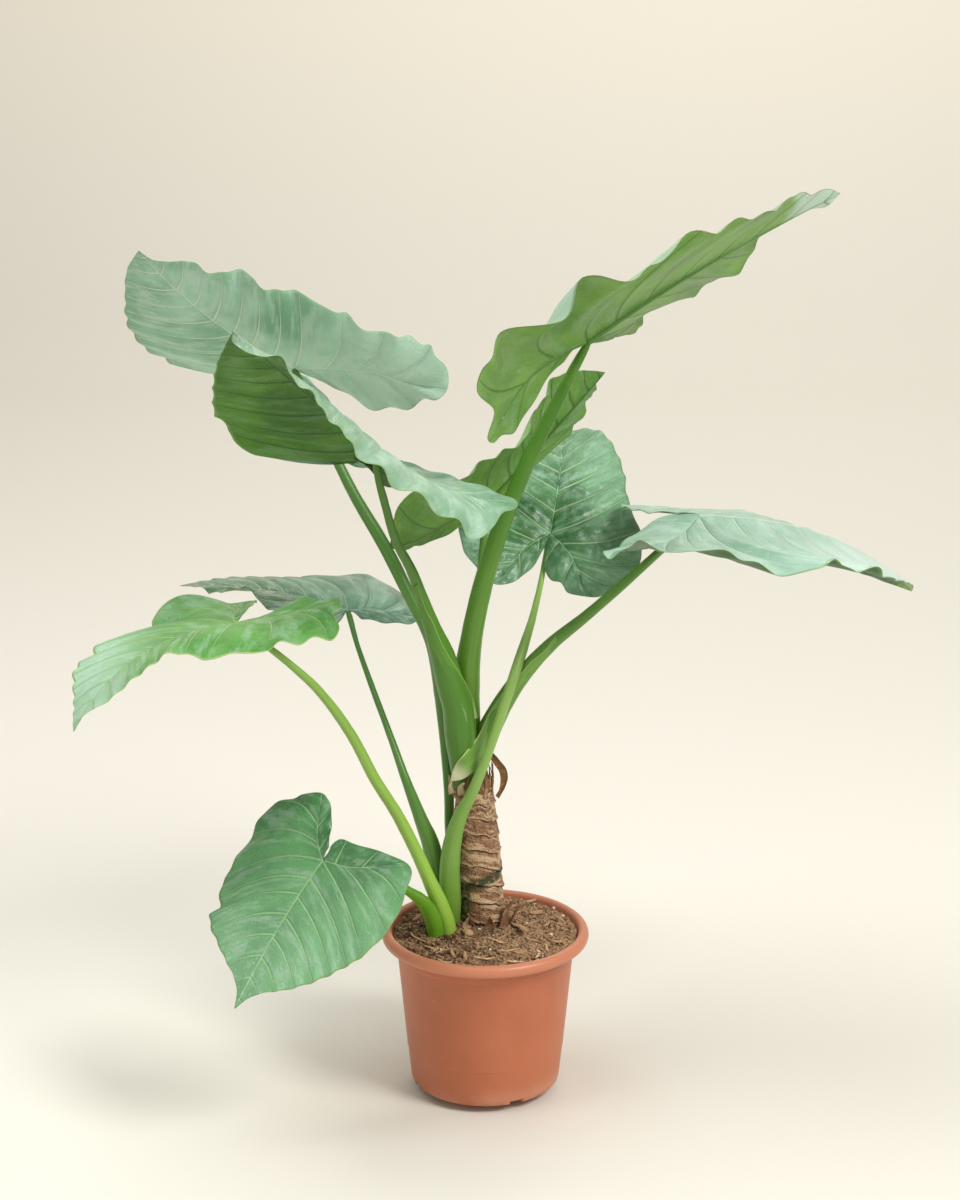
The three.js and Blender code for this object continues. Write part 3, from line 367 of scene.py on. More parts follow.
class Shape:
    """Grids of points, gathered into one mesh with a material number, a pattern map and a width for each."""

    def __init__(self):
        self.points, self.faces, self.slots, self.maps, self.widths = [], [], [], [], []
        self.count = 0

    def add(self, points, faces, slot=0, pattern=(0, 0), width=0):
        """Adds points in millimetres with their quads. pattern is two numbers and width one number per point."""
        points = np.reshape(points, (-1, 3))
        n = len(points)
        self.points.append(points * MM)
        self.faces.append(faces + self.count)
        self.slots.append(np.full(len(faces), slot))
        self.maps.append(np.broadcast_to(np.reshape(pattern, (-1, 2)), (n, 2)))
        self.widths.append(np.broadcast_to(np.ravel(width), n))
        self.count += n

    def tube(self, rings, slot=0, pattern=None, width=0):
        """Adds rings of points as a closed tube, with both ends drawn together to a point."""
        rings = closed_ends(rings)
        faces = grid_faces(rings.shape[0], rings.shape[1], closed=True)[:, ::-1]
        pattern = (0, 0) if pattern is None else np.concatenate([pattern[:1], pattern, pattern[-1:]])
        self.add(rings, faces, slot, pattern, width)

    def make(self, name, materials, replaces):
        """Makes the object from all the grids, with doubled points merged and smooth faces."""
        faces = np.concatenate(self.faces)
        mesh = bpy.data.meshes.new(name)
        mesh.vertices.add(self.count)
        mesh.loops.add(faces.size)
        mesh.polygons.add(len(faces))
        mesh.vertices.foreach_set("co", np.concatenate(self.points).astype(np.float32).ravel())
        mesh.loops.foreach_set("vertex_index", faces.astype(np.int32).ravel())
        mesh.polygons.foreach_set("loop_start", np.arange(0, faces.size, 4, dtype=np.int32))
        mesh.polygons.foreach_set("material_index", np.concatenate(self.slots).astype(np.int32))
        mesh.polygons.foreach_set("use_smooth", np.ones(len(faces), bool))
        mesh.update(calc_edges=True)
        maps = np.concatenate(self.maps)[faces.ravel()].astype(np.float32)
        mesh.uv_layers.new(name="pattern").data.foreach_set("uv", maps.ravel())
        widths = np.concatenate(self.widths).astype(np.float32)
        mesh.attributes.new("width", "FLOAT", "POINT").data.foreach_set("value", widths)
        mesh.validate()
        weld = bmesh.new()
        weld.from_mesh(mesh)
        bmesh.ops.remove_doubles(weld, verts=weld.verts, dist=MERGE)
        bmesh.ops.dissolve_degenerate(weld, edges=weld.edges, dist=SLIVER_EDGE)
        bmesh.ops.recalc_face_normals(weld, faces=weld.faces)
        weld.to_mesh(mesh)
        weld.free()
        for material in materials:
            mesh.materials.append(material)
        piece = show(name, mesh)
        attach(piece, "root")
        if replaces:
            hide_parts(*replaces)


# ---------- materials ----------
def tone(colour):
    """A screen colour as the linear colour that a shader takes."""
    c = np.array(colour) / 255
    linear = np.where(c < 0.04045, c / 12.92, ((c + 0.055) / 1.055) ** 2.4)
    return (*linear.tolist(), 1.0)


class Finish:
    """A material of shader nodes. Each helper adds one or a few nodes and returns the output for the next one."""

    SOCKETS = {"shine": "Specular IOR Level", "coat": "Coat Weight", "coat_roughness": "Coat Roughness"}

    def __init__(self, name):
        self.material = bpy.data.materials.new(name)
        self.material.use_nodes = True
        self.tree = self.material.node_tree
        self.shader = self.tree.nodes["Principled BSDF"]

    def node(self, kind, inputs=(), **settings):
        made = self.tree.nodes.new(kind)
        for key, value in settings.items():
            setattr(made, key, value)
        for key, value in dict(inputs).items():
            self.feed(made.inputs[key], value)
        return made

    def feed(self, socket, value):
        """Puts a number, a screen colour or another node's output into a socket."""
        if isinstance(value, bpy.types.NodeSocket):
            self.tree.links.new(value, socket)
        else:
            socket.default_value = tone(value) if socket.type == "RGBA" else value

    def place(self):
        return self.node("ShaderNodeTexCoord").outputs["Object"]

    def pattern(self):
        return self.split(self.node("ShaderNodeUVMap", uv_map="pattern").outputs["UV"])[:2]

    def width(self):
        return self.node("ShaderNodeAttribute", attribute_name="width").outputs["Fac"]

    def split(self, vector):
        out = self.node("ShaderNodeSeparateXYZ", {0: vector}).outputs
        return out["X"], out["Y"], out["Z"]

    def maths(self, operation, a, b=0.0):
        return self.node("ShaderNodeMath", {0: a, 1: b}, operation=operation).outputs[0]

    def times(self, a, b):
        return self.maths("MULTIPLY", a, b)

    def plus(self, a, b):
        return self.maths("ADD", a, b)

    def less(self, a, b):
        return self.maths("SUBTRACT", a, b)

    def grain(self, vector, scale, detail=3.0, roughness=0.55, stretch=(1, 1, 1)):
        """Noise from 0 to 1, finer with scale and drawn out along an axis by stretch."""
        moved = self.node("ShaderNodeMapping", {"Vector": vector, "Scale": stretch}).outputs[0]
        inputs = {"Vector": moved, "Scale": scale, "Detail": detail, "Roughness": roughness}
        return self.node("ShaderNodeTexNoise", inputs).outputs[0]

    def scaled(self, x, x_scale, y, y_scale, shift=0.0):
        """A vector of two values, each scaled, and a shift."""
        parts = {0: self.times(x, x_scale), 1: self.times(y, y_scale), 2: shift}
        return self.node("ShaderNodeCombineXYZ", parts).outputs[0]

    def fibres(self, x, many, y, few, detail=3.0, roughness=0.55, shift=0.0):
        """Noise drawn out into fibres: many of them across x and few steps along y."""
        return self.grain(self.scaled(x, many, y, few, shift), 1.0, detail, roughness)

    def cells(self, vector, scale, feature="F1"):
        inputs = {"Vector": vector, "Scale": scale}
        return self.node("ShaderNodeTexVoronoi", inputs, feature=feature).outputs["Distance"]

    def ramp(self, value, low, high, start=0.0, end=1.0):
        """Eases from start to end while the value goes from low to high."""
        inputs = {"Value": value, "From Min": low, "From Max": high, "To Min": start, "To Max": end}
        return self.node("ShaderNodeMapRange", inputs, interpolation_type="SMOOTHSTEP").outputs[0]

    def mix(self, share, a, b):
        return self.node("ShaderNodeMix", {0: share, 6: a, 7: b}, data_type="RGBA").outputs[2]

    def tint(self, body, colour, value, low, high, share=1.0):
        """The body with a colour mixed in, up to share, while the value goes from low to high."""
        return self.mix(self.ramp(value, low, high, 0.0, share), body, colour)

    def bump(self, height, depth, strength):
        inputs = {"Height": height, "Distance": depth, "Strength": strength}
        return self.node("ShaderNodeBump", inputs).outputs[0]

    def finish(self, colour, roughness, normal, **sockets):
        """Connects the finished look. sockets are further values that are the same all over the surface."""
        self.feed(self.shader.inputs["Base Color"], colour)
        self.feed(self.shader.inputs["Roughness"], roughness)
        self.feed(self.shader.inputs["Normal"], normal)
        for name, value in sockets.items():
            self.shader.inputs[self.SOCKETS[name]].default_value = value
        return self.material


def leaf_finish(name, greens, vein, edge, roughness, way, vein_share, painted_light, pucker, wax, sheen, sheen_tone):
    """Leaf tissue between its darkest and its lightest green. The pattern map counts side veins along x and
    runs from midrib to margin along y. way is 1 where the veins stand out and -1 where they lie sunk. Each patch
    of
    painted light is (axis, from, to, share, colour): painted sheen, highlight, shade or glow through the leaf, in
    a colour that grows along that axis, in metres. sheen is the share of pale streaks of painted sheen between
    the veins."""
    f = Finish(name)
    deep, light = greens
    place = f.place()
    count, out = f.pattern()
    off = f.maths("ABSOLUTE", f.less(count, f.maths("ROUND", count)))
    reach = f.times(off, f.width())
    line = f.ramp(f.maths("DIVIDE", reach, f.ramp(out, 0.0, 1.0, 0.0018, 0.0006)), 1.2, 0.35)
    # fine veins: cell walls drawn out between the side veins
    wall = f.ramp(f.cells(f.scaled(count, 3.0, out, 9.0), 1.6, "DISTANCE_TO_EDGE"), 0.07, 0.0)
    broad = f.grain(place, 14.0)
    body = f.tint(deep, light, broad, 0.32, 0.68)
    # patches of painted light: painted sheen and highlights, painted shade, and painted light shining through the
    # leaf
    for axis, start, end, share, colour in painted_light:
        grown = f.plus(f.split(place)[axis], f.ramp(broad, 0.2, 0.8, -0.015, 0.015))
        body = f.tint(body, colour, grown, start, end, share)
    # pale streaks of painted sheen between the side veins
    body = f.tint(body, sheen_tone, f.fibres(count, 2.6, out, 2.2, 4.0, 0.6), 0.46, 0.64, sheen)
    # painted shade in the creases beside each side vein
    body = f.tint(body, deep, off, 0.16, 0.0, 0.22)
    body = f.mix(f.times(wall, 0.12), body, vein)
    body = f.mix(f.times(line, vein_share), body, vein)
    body = f.tint(body, edge, out, 0.975, 0.998, 0.7)
    body = f.tint(body, deep, f.grain(place, 160.0, 2.0), 0.35, 0.7, 0.08)
    height = f.plus(f.times(line, way), f.times(wall, way * 0.3))
    height = f.plus(height, f.times(f.grain(place, 75.0, 2.0), pucker))
    rough = f.ramp(broad, 0.3, 0.7, roughness - 0.05, roughness + 0.07)
    return f.finish(body, rough, f.bump(height, 0.0011, 0.8), coat=wax, coat_roughness=roughness + 0.08)


def leaf_finishes(name, top, vein, edge, under, under_vein, rough=0.36, share=0.6, painted_light=(), under_painted_light=(),
                  wax=0.15, sheen=0.3, sheen_tone=(206, 228, 214)):
    """A leaf's upper finish, with sunk veins, and its duller lower one, where the veins stand out."""
    upper = top, vein, edge, rough, -1.0, share, painted_light, 0.5, wax, sheen, sheen_tone
    lower = under, under_vein, edge, rough + 0.12, 1.0, 0.6, under_painted_light, 0.35, 0.08, 0.1, sheen_tone
    return [leaf_finish(f"{name}_upper", *upper), leaf_finish(f"{name}_under", *lower)]


def stalk_finish(name, low, high):
    """Smooth fleshy stem. The pattern map runs round the stem along x and up it along y."""
    f = Finish(name)
    round_it, up = f.pattern()
    fibres = f.fibres(round_it, 26.0, up, 2.2)
    body = f.tint(low, high, up, 0.0, 0.75)
    body = f.tint(body, [0.86 * part for part in high], fibres, 0.42, 0.75, 0.45)
    body = f.tint(body, low, f.grain(f.place(), 22.0, 2.0), 0.45, 0.75, 0.3)
    return f.finish(body, 0.36, f.bump(fibres, 0.0006, 0.6))


def pot_finish():
    """Matt clay-coloured plastic: a fine orange-peel skin, cloudy colour, scuffs, dusty foot and a painted
    highlight on the rim.
    """
    f = Finish("clay_plastic")
    place = f.place()
    height = f.split(place)[2]
    cloud = f.grain(place, 9.0, 4.0)
    body = f.tint((181, 99, 62), (194, 112, 74), cloud, 0.3, 0.7)
    body = f.tint(body, (226, 170, 142), f.grain(place, 30.0, 4.0, 0.7, stretch=(1, 1, 9)), 0.64, 0.78, 0.22)
    body = f.tint(body, (150, 80, 56), f.grain(place, 60.0), 0.6, 0.8, 0.12)
    body = f.mix(f.times(f.ramp(height, 0.03, 0.0), f.ramp(cloud, 0.4, 0.7, 0.0, 0.5)), body, (214, 168, 142))
    # a paler band round the rim: painted highlight
    body = f.tint(body, (212, 140, 108), height, 0.17, 0.178, 0.6)
    peel = f.bump(f.grain(place, 420.0, 2.0), 0.0004, 0.35)
    return f.finish(body, f.ramp(cloud, 0.3, 0.7, 0.38, 0.46), peel, shine=0.55)


def soil_finish(name, dark, light, scale=260.0):
    """Crumbly earth: dark and brown grains of mixed size, with painted light making it lighter towards the right.
    """
    f = Finish(name)
    place = f.place()
    grains = f.cells(place, scale)
    broad = f.grain(place, 60.0, 4.0, 0.7)
    body = f.tint(dark, light, broad, 0.35, 0.7)
    body = f.tint(body, dark, grains, 0.25, 0.6, 0.55)
    body = f.tint(body, (222, 188, 150), f.grain(place, 500.0, 2.0), 0.62, 0.72, 0.8)
    # painted light: the soil grows lighter towards the right
    body = f.tint(body, light, f.split(place)[0], -0.03, 0.05, 0.35)
    return f.finish(body, 0.95, f.bump(f.less(broad, grains), 0.0025, 0.9))


def bark_finish(name, deep, light, pale):
    """Split bark or dry tissue: fibres drawn out along the piece, which the pattern map's x runs across."""
    f = Finish(name)
    across, along = f.pattern()
    fibres = f.fibres(across, 24.0, along, 3.0, 5.0, 0.65)
    body = f.tint(deep, light, fibres, 0.3, 0.7)
    body = f.tint(body, pale, f.grain(f.place(), 90.0), 0.5, 0.75, 0.7)
    return f.finish(body, 0.82, f.bump(fibres, 0.0012, 0.9))


def sheath_finish(name, low, high, margin, white):
    """A leaf's sheath: green, with a thin paler margin and a lower end that white turns whitish. The pattern map
    runs from the line that it wraps from to the free edge along x, and down along y."""
    f = Finish(name)
    across, down = f.pattern()
    lines = f.fibres(across, 14.0, down, 3.0)
    body = f.tint(low, high, lines, 0.35, 0.7)
    body = f.tint(body, (226, 224, 186), down, 0.84, 0.96, white)
    body = f.tint(body, margin, across, 0.93, 0.98, 0.8)
    return f.finish(body, 0.42, f.bump(lines, 0.0006, 0.6))


def trunk_finish():
    """Old stem: granular red-brown skin between tan scar edges, with green moss in the grooves and in patches low
    down, and painted shade where the skin lies deep. The pattern map's y counts leaf scars, and the width
    attribute holds how deep each point lies."""
    f = Finish("scarred_stem")
    place = f.place()
    x, _, z = f.split(place)
    round_it, scar = f.pattern()
    fibres = f.fibres(round_it, 60.0, scar, 1.6, 5.0, 0.7)
    bands = f.fibres(round_it, 7.0, scar, 3.4, 4.0, 0.6, 0.7)
    grains = f.cells(place, 520.0)
    blotch = f.grain(place, 55.0)
    body = f.tint((132, 92, 62), (196, 152, 112), fibres, 0.3, 0.72)
    body = f.tint(body, (106, 62, 46), grains, 0.3, 0.6, 0.45)
    body = f.tint(body, (222, 192, 152), bands, 0.48, 0.6, 0.8)
    body = f.tint(body, (92, 62, 42), bands, 0.44, 0.34, 0.6)
    crossing = f.maths("FRACT", f.plus(f.times(scar, 0.5), f.times(round_it, 3.0)))
    crossing = f.times(f.ramp(crossing, 0.05, 0.0), f.ramp(blotch, 0.45, 0.6, 0.0, 0.8))
    body = f.mix(crossing, body, (214, 188, 148))
    rim = f.times(f.ramp(f.maths("FRACT", scar), 0.16, 0.02), f.ramp(blotch, 0.3, 0.5, 0.3, 1.0))
    body = f.mix(f.times(rim, 0.9), body, (216, 188, 148))
    # a band of moss that rises to the right, and moss low down on the left
    band = f.ramp(f.maths("ABSOLUTE", f.less(f.less(z, f.times(x, 0.38)), 0.245)), 0.009, 0.004)
    low = f.times(f.times(f.ramp(z, 0.252, 0.226), f.ramp(x, -0.014, -0.02)), 0.9)
    moss = f.times(f.maths("MAXIMUM", band, low), f.ramp(f.grain(place, 160.0), 0.35, 0.55, 0.25, 1.0))
    body = f.mix(moss, body, (62, 72, 34))
    # painted shade: darker where the skin lies deep in a groove or hollow
    body = f.tint(body, (52, 50, 30), f.width(), 0.3, 0.75, 0.85)
    return f.finish(body, 0.72, f.bump(f.less(fibres, grains), 0.0016, 0.9))


def plain_finish(name, colour, mottle, scale, depth):
    """One colour with soft mottling and a fine bump."""
    f = Finish(name)
    spots = f.grain(f.place(), scale)
    return f.finish(f.tint(colour, mottle, spots, 0.35, 0.7), 0.8, f.bump(spots, depth, 0.5))


def paper_finish():
    """Cream paper with painted light and shade: a little warmer and lighter high up than on the floor."""
    f = Finish("cream_paper")
    # painted light and shade: darker and greyer on the floor, lighter high up
    body = f.tint((230, 226, 215), (244, 238, 222), f.split(f.place())[2], 0.0, 1.1)
    return f.finish(body, 0.9, f.bump(f.grain(f.place(), 240.0), 0.0001, 0.4))


# ---------- leaf blades ----------
def facing(azimuth, elevation):
    """The direction that many degrees round from the viewer and up from level."""
    a, e = math.radians(azimuth), math.radians(elevation)
    return np.array([math.sin(a) * math.cos(e), -math.cos(a) * math.cos(e), math.sin(e)])


def midrib_frame(leaf, u):
    """Points on the midrib, and its directions to the right and out of the upper face.

    The midrib is a quadratic curve from the junction to the tip. Behind the junction it runs on as an arc that
    turns down by the droop in half the blade's length.
    """
    a, b, c = (np.array(leaf[name], float) for name in ("junction", "bend", "tip"))
    k = np.clip(u / leaf["length"], 0, 1)
    along = unit((1 - k)[..., None] * (b - a) + k[..., None] * (c - b))
    base, end = (facing(*way) for way in leaf["face"])
    side = unit(np.cross(along, unit(base + (end - base) * k[..., None])))
    up = np.cross(side, along)
    behind = np.minimum(u, 0)
    turn = math.radians(leaf["droop"]) * np.minimum(-2 * behind / leaf["length"], 1.3) / 2
    chord = (behind * np.sinc(turn / np.pi))[..., None]
    point = bezier(a, b, c, k) + chord * (unit(b - a) * np.cos(turn)[..., None] + up * np.sin(turn)[..., None])
    return point, side, up


def blade_points(leaf, u, v, lift):
    """Points of the blade u along the midrib and v to its right, in millimetres.

    Each half leaves the midrib at its fold angle and bends on in an arc of its curl, and lift raises it.
    """
    point, side, up = midrib_frame(leaf, u)
    half = (v > 0).astype(int)
    reach = np.abs(v)
    curl = np.radians(np.array(leaf["curl"], float))[half] * reach / leaf["half_width"] / 2
    chord = reach * np.sinc(curl / np.pi)
    angle = np.radians(np.array(leaf["fold"], float))[half] + curl
    out = np.sign(v) * chord * np.cos(angle)
    return point + side * out[..., None] + up * (chord * np.sin(angle) + lift)[..., None]


def row_ends(leaf, line, veins):
    """Where a half blade's rows run from and to, and how many side veins lie before each.

    In front of the joint the rows start along the midrib. Behind it they start along the back lobe's own main
    vein, first out to the outer edge and then in to the notch.
    """
    steps = np.arange(len(line))
    lean = 1 / math.tan(math.radians(BLADE["vein_angle"]))
    root = np.minimum.accumulate(np.clip(line[:, 0] - lean * line[:, 1], 0, leaf["length"]))
    side = int(np.argmax(root <= 0))
    last = side + 0.93 * (steps[-1] - side)
    lobe = side + int(np.argmin((line[:, 0] - 0.25 * line[:, 1])[side:int(last)]))
    stops = np.array([1, side, lobe, last])
    rows = np.maximum(6, np.round(BLADE["rows"] * np.diff(stops) / (last - 1))).astype(int)
    pick = np.concatenate([np.linspace(stops[k], stops[k + 1], rows[k], endpoint=k == 2) for k in range(3)])
    at = np.concatenate([np.linspace(0, 1, rows[k], endpoint=k == 2) for k in range(3)])
    part = np.repeat([0, 1, 2], rows)
    end = spread(*(np.interp(pick, steps, column) for column in line.T))
    outward = np.select([part == 1, part == 2], [at, 1 - at], 0.0)[:, None]
    tip, bow = line[lobe], 0.07 * np.array([line[lobe, 1], -line[lobe, 0]])
    start = 0.8 * outward * tip[:2] + bow * np.sin(np.pi * outward)
    start[:, 0] += np.where(part == 0, np.interp(pick, steps, root), 0)
    front, outer, inner = veins
    count = np.select([part == 0, part == 1], [0.5 + (front - 0.5) * at**0.92, front + outer * at],
                      front + outer + (inner + 0.5) * at)[:, None]
    grown = ease(5 * pick / len(line))[:, None]
    return start, end, count, grown, tip[2] * (0.8 * outward) ** 2, int(np.argmax(pick >= lobe)), part


def blade_half(leaf, name, sign, veins, puff, blister):
    """One half of a blade as a grid of rows that follow its side veins, each from t = 0 to the outline at t = 1.

    Between two veins the tissue puffs up by a rounded sine, the edge is waved once per vein, and blister raises
    small cushions between the finer veins.
    """
    line = resample(smooth_curve(leaf[name] + [(0, 0, 0)], 24), BLADE["outline_points"], 2)
    line[:, 1] = np.maximum(line[:, 1], 0)
    start, end, count, grown, raised, lobe, part = row_ends(leaf, line, veins)
    t = np.linspace(0, 1, BLADE["across"] + 1)
    scallop = BLADE["scallop"] * np.cos(TURN * count)
    scallop = scallop + BLADE["uneven_scallop"] * noise(spread(2.1 * count, 0, 0), 1.0, 8)
    wide = 1 + scallop * grown / BLADE["scallop_scale"]
    v = start[:, 1:] + (end[:, 1:2] * wide - start[:, 1:]) * t
    u = start[:, :1] + (end[:, :1] * wide - start[:, :1]) * t
    u = u - 0.11 * (end[:, 1:2] - start[:, 1:]) * np.sin(np.pi * t)
    wave = BLADE["edge_wave"] * grown * np.sin(TURN * count + 0.7) * t**5
    lift = raised * (1 - t**2) + end[:, 2:] * t**2 + wave
    points = blade_points(leaf, u, sign * np.maximum(v, 1e-4), lift)
    count = count + 0 * t
    down = np.gradient(points, axis=0)
    span = np.linalg.norm(down, axis=-1) / np.maximum(np.gradient(count, axis=0), 1e-3)
    normal = unit(np.cross(down, np.gradient(points, axis=1)) * sign)
    normal[:, 0] = normal[:, 1]
    between, middle = np.abs(np.sin(np.pi * count)), np.sin(np.pi * t**0.8)
    large, small = BLADE["cushions"]
    quilt = 0.5 - np.abs(noise(spread(u, v, 0), large, 3)) + 0.4 * noise(spread(u, v, 0), small, 5)
    relief = puff * between**0.6 * middle**0.7 * np.minimum(span / 26, 1)
    relief = grown * (relief + blister * quilt * middle**0.5 * between**0.5)
    return points + normal * relief[..., None], normal, spread(count, t), span, lobe, part


def rib(shape, line, up, radius):
    """A vein's rib: a low ridge just above the blade and a round one below it, along a line and thinning as
    radius does. The upper half takes the upper finish and the lower half the lower one."""
    along = unit(np.gradient(line, axis=0))
    side = unit(np.cross(along, up))
    over = np.cross(side, along)[:, None]
    turn = np.linspace(0, TURN, RIB["sides"])[None, :]
    radius = radius[:, None]
    low = radius * RIB["sink"]
    rise = np.where(np.sin(turn) > 0, BLADE["thickness"] / 2 + RIB["flush"] + low, radius)
    ring = side[:, None] * (radius * np.cos(turn))[..., None] + over * (rise * np.sin(turn) - low)[..., None]
    rings = closed_ends(line[:, None] + ring)
    faces = grid_faces(len(rings), RIB["sides"])
    upper = faces[:, 0] % RIB["sides"] < RIB["sides"] // 2
    pattern = spread(0 * turn, np.linspace(0, 0.6, len(rings))[:, None])
    for slot, chosen in enumerate((upper, ~upper)):
        shape.add(rings, faces[chosen], slot, pattern)


def blade(name, rib_radius, puff, blister=0.6, veins=(8, 3, 2), slot="blade_pale", **looks):
    """A whole leaf blade: both halves with their skins and rims, the midrib and the veins of the two lobes."""
    leaf = LEAVES[name]
    midrib = bezier(leaf["junction"], leaf["bend"], leaf["tip"], np.linspace(0, 1, 400))
    leaf = dict(leaf, length=walked(midrib)[-1])
    shape = Shape()
    for side, sign in (("left", -1), ("right", 1)):
        points, normal, pattern, span, lobe, part = blade_half(leaf, side, sign, veins, puff, blister)
        rows, columns = points.shape[:2]
        thin = BLADE["thickness"] / 2 * (1 - 0.45 * pattern[..., 1:] ** 3)
        skins = [points + normal * thin, points - normal * thin]
        for face, skin in enumerate(skins):
            shape.add(skin, grid_faces(rows, columns), face, pattern, span * MM)
        for edge in (np.s_[:, -1], np.s_[-1, :], np.s_[0, :], np.s_[:, 0]):
            wall = np.stack([skins[0][edge], skins[1][edge]], axis=1)
            shape.add(wall, grid_faces(len(wall), 2), 0, np.repeat(pattern[edge][:, None], 2, axis=1), 1.0)
        way = (part == 1, 0), (lobe, slice(int(columns * 0.7)))
        main = np.hstack([np.concatenate([grid[w] for w in way]) for grid in (points, normal)])
        main = resample(main, RIB["lobe_rows"])
        thinning = np.linspace(1, 0, RIB["lobe_rows"]) ** 0.8
        rib(shape, main[:, :3], main[:, 3:], rib_radius * 0.6 * thinning + RIB["lobe_least"])
    line, _, up = midrib_frame(leaf, np.linspace(-0.5, leaf["length"] * 0.985, RIB["midrib_rows"]))
    rib(shape, line, up, rib_radius * np.linspace(1, 0, RIB["midrib_rows"]) ** 0.75 + RIB["midrib_least"])
    shape.make(f"leaf_{name}", leaf_finishes(name, **looks), [f"blade_{name}"])


# ---------- stalks ----------
def across_frame(line):
    """Two directions across a line at each of its points, carried along it without twisting."""
    along = unit(np.gradient(line, axis=0))
    side = np.zeros_like(along)
    held = np.array([1.0, 0.0, 0.0])
    for i, direction in enumerate(along):
        held = held - direction * (held @ direction)
        held = held / np.linalg.norm(held)
        side[i] = held
    return side[:, None], np.cross(along, side)[:, None]


def stalk(name, low, high):
    """A leaf stalk: a tube along its route that bends into the blade's joint, with a shallow groove, uneven
    skin and the raised edges of its sheath on the lower part."""
    line, _, up = midrib_frame(dict(LEAVES[name], length=200), np.array([0.0, 9.0]))
    thin = STALKS[name][-1][3] * STALK["elbow"]
    bent = ((line[0], up[0], 1.05, 1.05), (line[1], up[1], 0.75, 0.7))
    elbow = [(*(point - out * thin * drop), thin * size) for point, out, drop, size in bent]
    route = resample(smooth_curve(STALKS[name] + elbow, 16), STALK["rows"])
    line, radius = route[:, None, :3], route[:, 3:]
    side, other = across_frame(route[:, :3])
    a = np.linspace(0, TURN, STALK["columns"], endpoint=False)
    up = np.linspace(0, 1, STALK["rows"])[:, None]
    swell = 1 + 0.012 * np.sin(9 * up + 2 * a) - STALK["groove"] * hump(a, 2.4, 0.45) * ease(up * 4)
    sheathed = STALK["ridge_height"] * ease((STALK["sheath_end"] - up) / 0.12 + 0.5)
    for ridge in STALK["ridges"]:
        swell = swell + sheathed * hump(a, ridge, 0.13)
    out = side * np.cos(a)[:, None] + other * np.sin(a)[:, None]
    rings = line + (radius * np.minimum(swell, 1.035))[..., None] * out
    rings = rings + noise(rings, 9.0, 2)[..., None] * STALK["unevenness"] * unit(rings - line)
    shape = Shape()
    shape.tube(rings, 0, spread(a / TURN, up))
    shape.make(f"stem_{name}", [stalk_finish(f"{name}_stem", low, high)], [f"stalk_{name}"])


# ---------- trunk ----------
def trunk_grid():
    """Rings up the trunk. The radius runs straight between three values, and each leaf scar is a slanting ring: a
    lip that falls back inwards to the next one, with a groove under each lip and rough skin between."""
    t = np.linspace(0, 1, TRUNK["rows"])[:, None]
    a = np.linspace(0, TURN, TRUNK["columns"], endpoint=False)[None, :]
    centre = bezier(TRUNK["foot"], TRUNK["mid"], TRUNK["top"], t[:, 0])[:, None]
    count = t * TRUNK["scars"] + TRUNK["scar_tilt"] / 22 * np.sin(a + 1.1) * np.sin(np.pi * t) + 20
    count_here = count + 0.16 * noise(spread(3 * np.cos(a), 3 * np.sin(a), count), 1.0, 4)
    step = count_here % 1
    groove = TRUNK["groove"] * hump(step, 0.96, 0.05) + 0.5 * hump(step, 0.42, 0.03)
    radius = np.interp(t, [0, 0.5, 1], TRUNK["radii"]) + TRUNK["scar_depth"] * (0.5 - step)
    radius = radius + TRUNK["lip"] * hump(step, 0.07, 0.06) - groove
    around = spread(np.cos(a), np.sin(a), 0 * t)
    rings = centre + around * radius[..., None]
    rough = 0.55 * noise(rings * (1, 1, 2.4), 7.0, 1) + 0.35 * noise(rings * (1, 1, 0.5), 2.6, 6)
    # how deep each point lies in grooves and hollows, which sets the painted shade on the skin
    deep = np.clip(groove / TRUNK["groove"] + 0.3 * (rough < -0.45), 0, 1)
    return rings + around * rough[..., None], spread(a / TURN, count_here - 20), deep


def taper(broad, power, drop=1.0, least=0.6):
    """A strip's width, by how far up it: broad at its foot, less the drop times a power of the way up."""
    return lambda t: broad * (1 - drop * t**power) + least


def leaf_strip(shape, route, width, thickness, cup, wide, slot, rows=26, columns=9):
    """A dry strip along a route: width changes along it, its cross-section is cupped by cup times the square of
    the place across, and both faces meet at thin edges."""
    line = resample(smooth_curve(route, 12), rows)
    along = unit(np.gradient(line, axis=0))
    wide = np.array(wide, float)
    across = unit(wide - along * (along @ wide)[:, None])
    out = np.cross(along, across)[:, None]
    w = np.linspace(-1, 1, columns)[None, :, None]
    up = np.linspace(0, 1, rows)
    sheet = line[:, None] + across[:, None] * width(up)[:, None, None] / 2 * w + out * cup * w**2
    sheet = sheet + out * 0.5 * noise(sheet, 6.0, 3)[..., None]
    rings = two_faced(sheet, out * thickness / 2 * (1 - 0.7 * w**2))
    shape.tube(rings, slot, spread(np.abs(np.linspace(-1, 1, 2 * columns)), up[:, None]))


def husk(shape, angle, height, width, lean):
    """A papery husk at the trunk's foot: a pointed strip that leans outwards and curls over at its top."""
    tilt, out = math.radians(lean), level_way(angle)
    start = np.array(TRUNK["foot"][:2] + (SOIL["edge"] - 3,)) + out * (TRUNK["radii"][0] - 0.2)
    s = np.linspace(0, 1, 6)[:, None]
    rise = height + 4
    route = start + out * (math.sin(tilt) * rise * s + 2.5 * s**3) + np.array([0, 0, rise * math.cos(tilt)]) * s
    leaf_strip(shape, route, taper(width, 2.2), 1.3, -2.2, (-out[1], out[0], 0), 1)


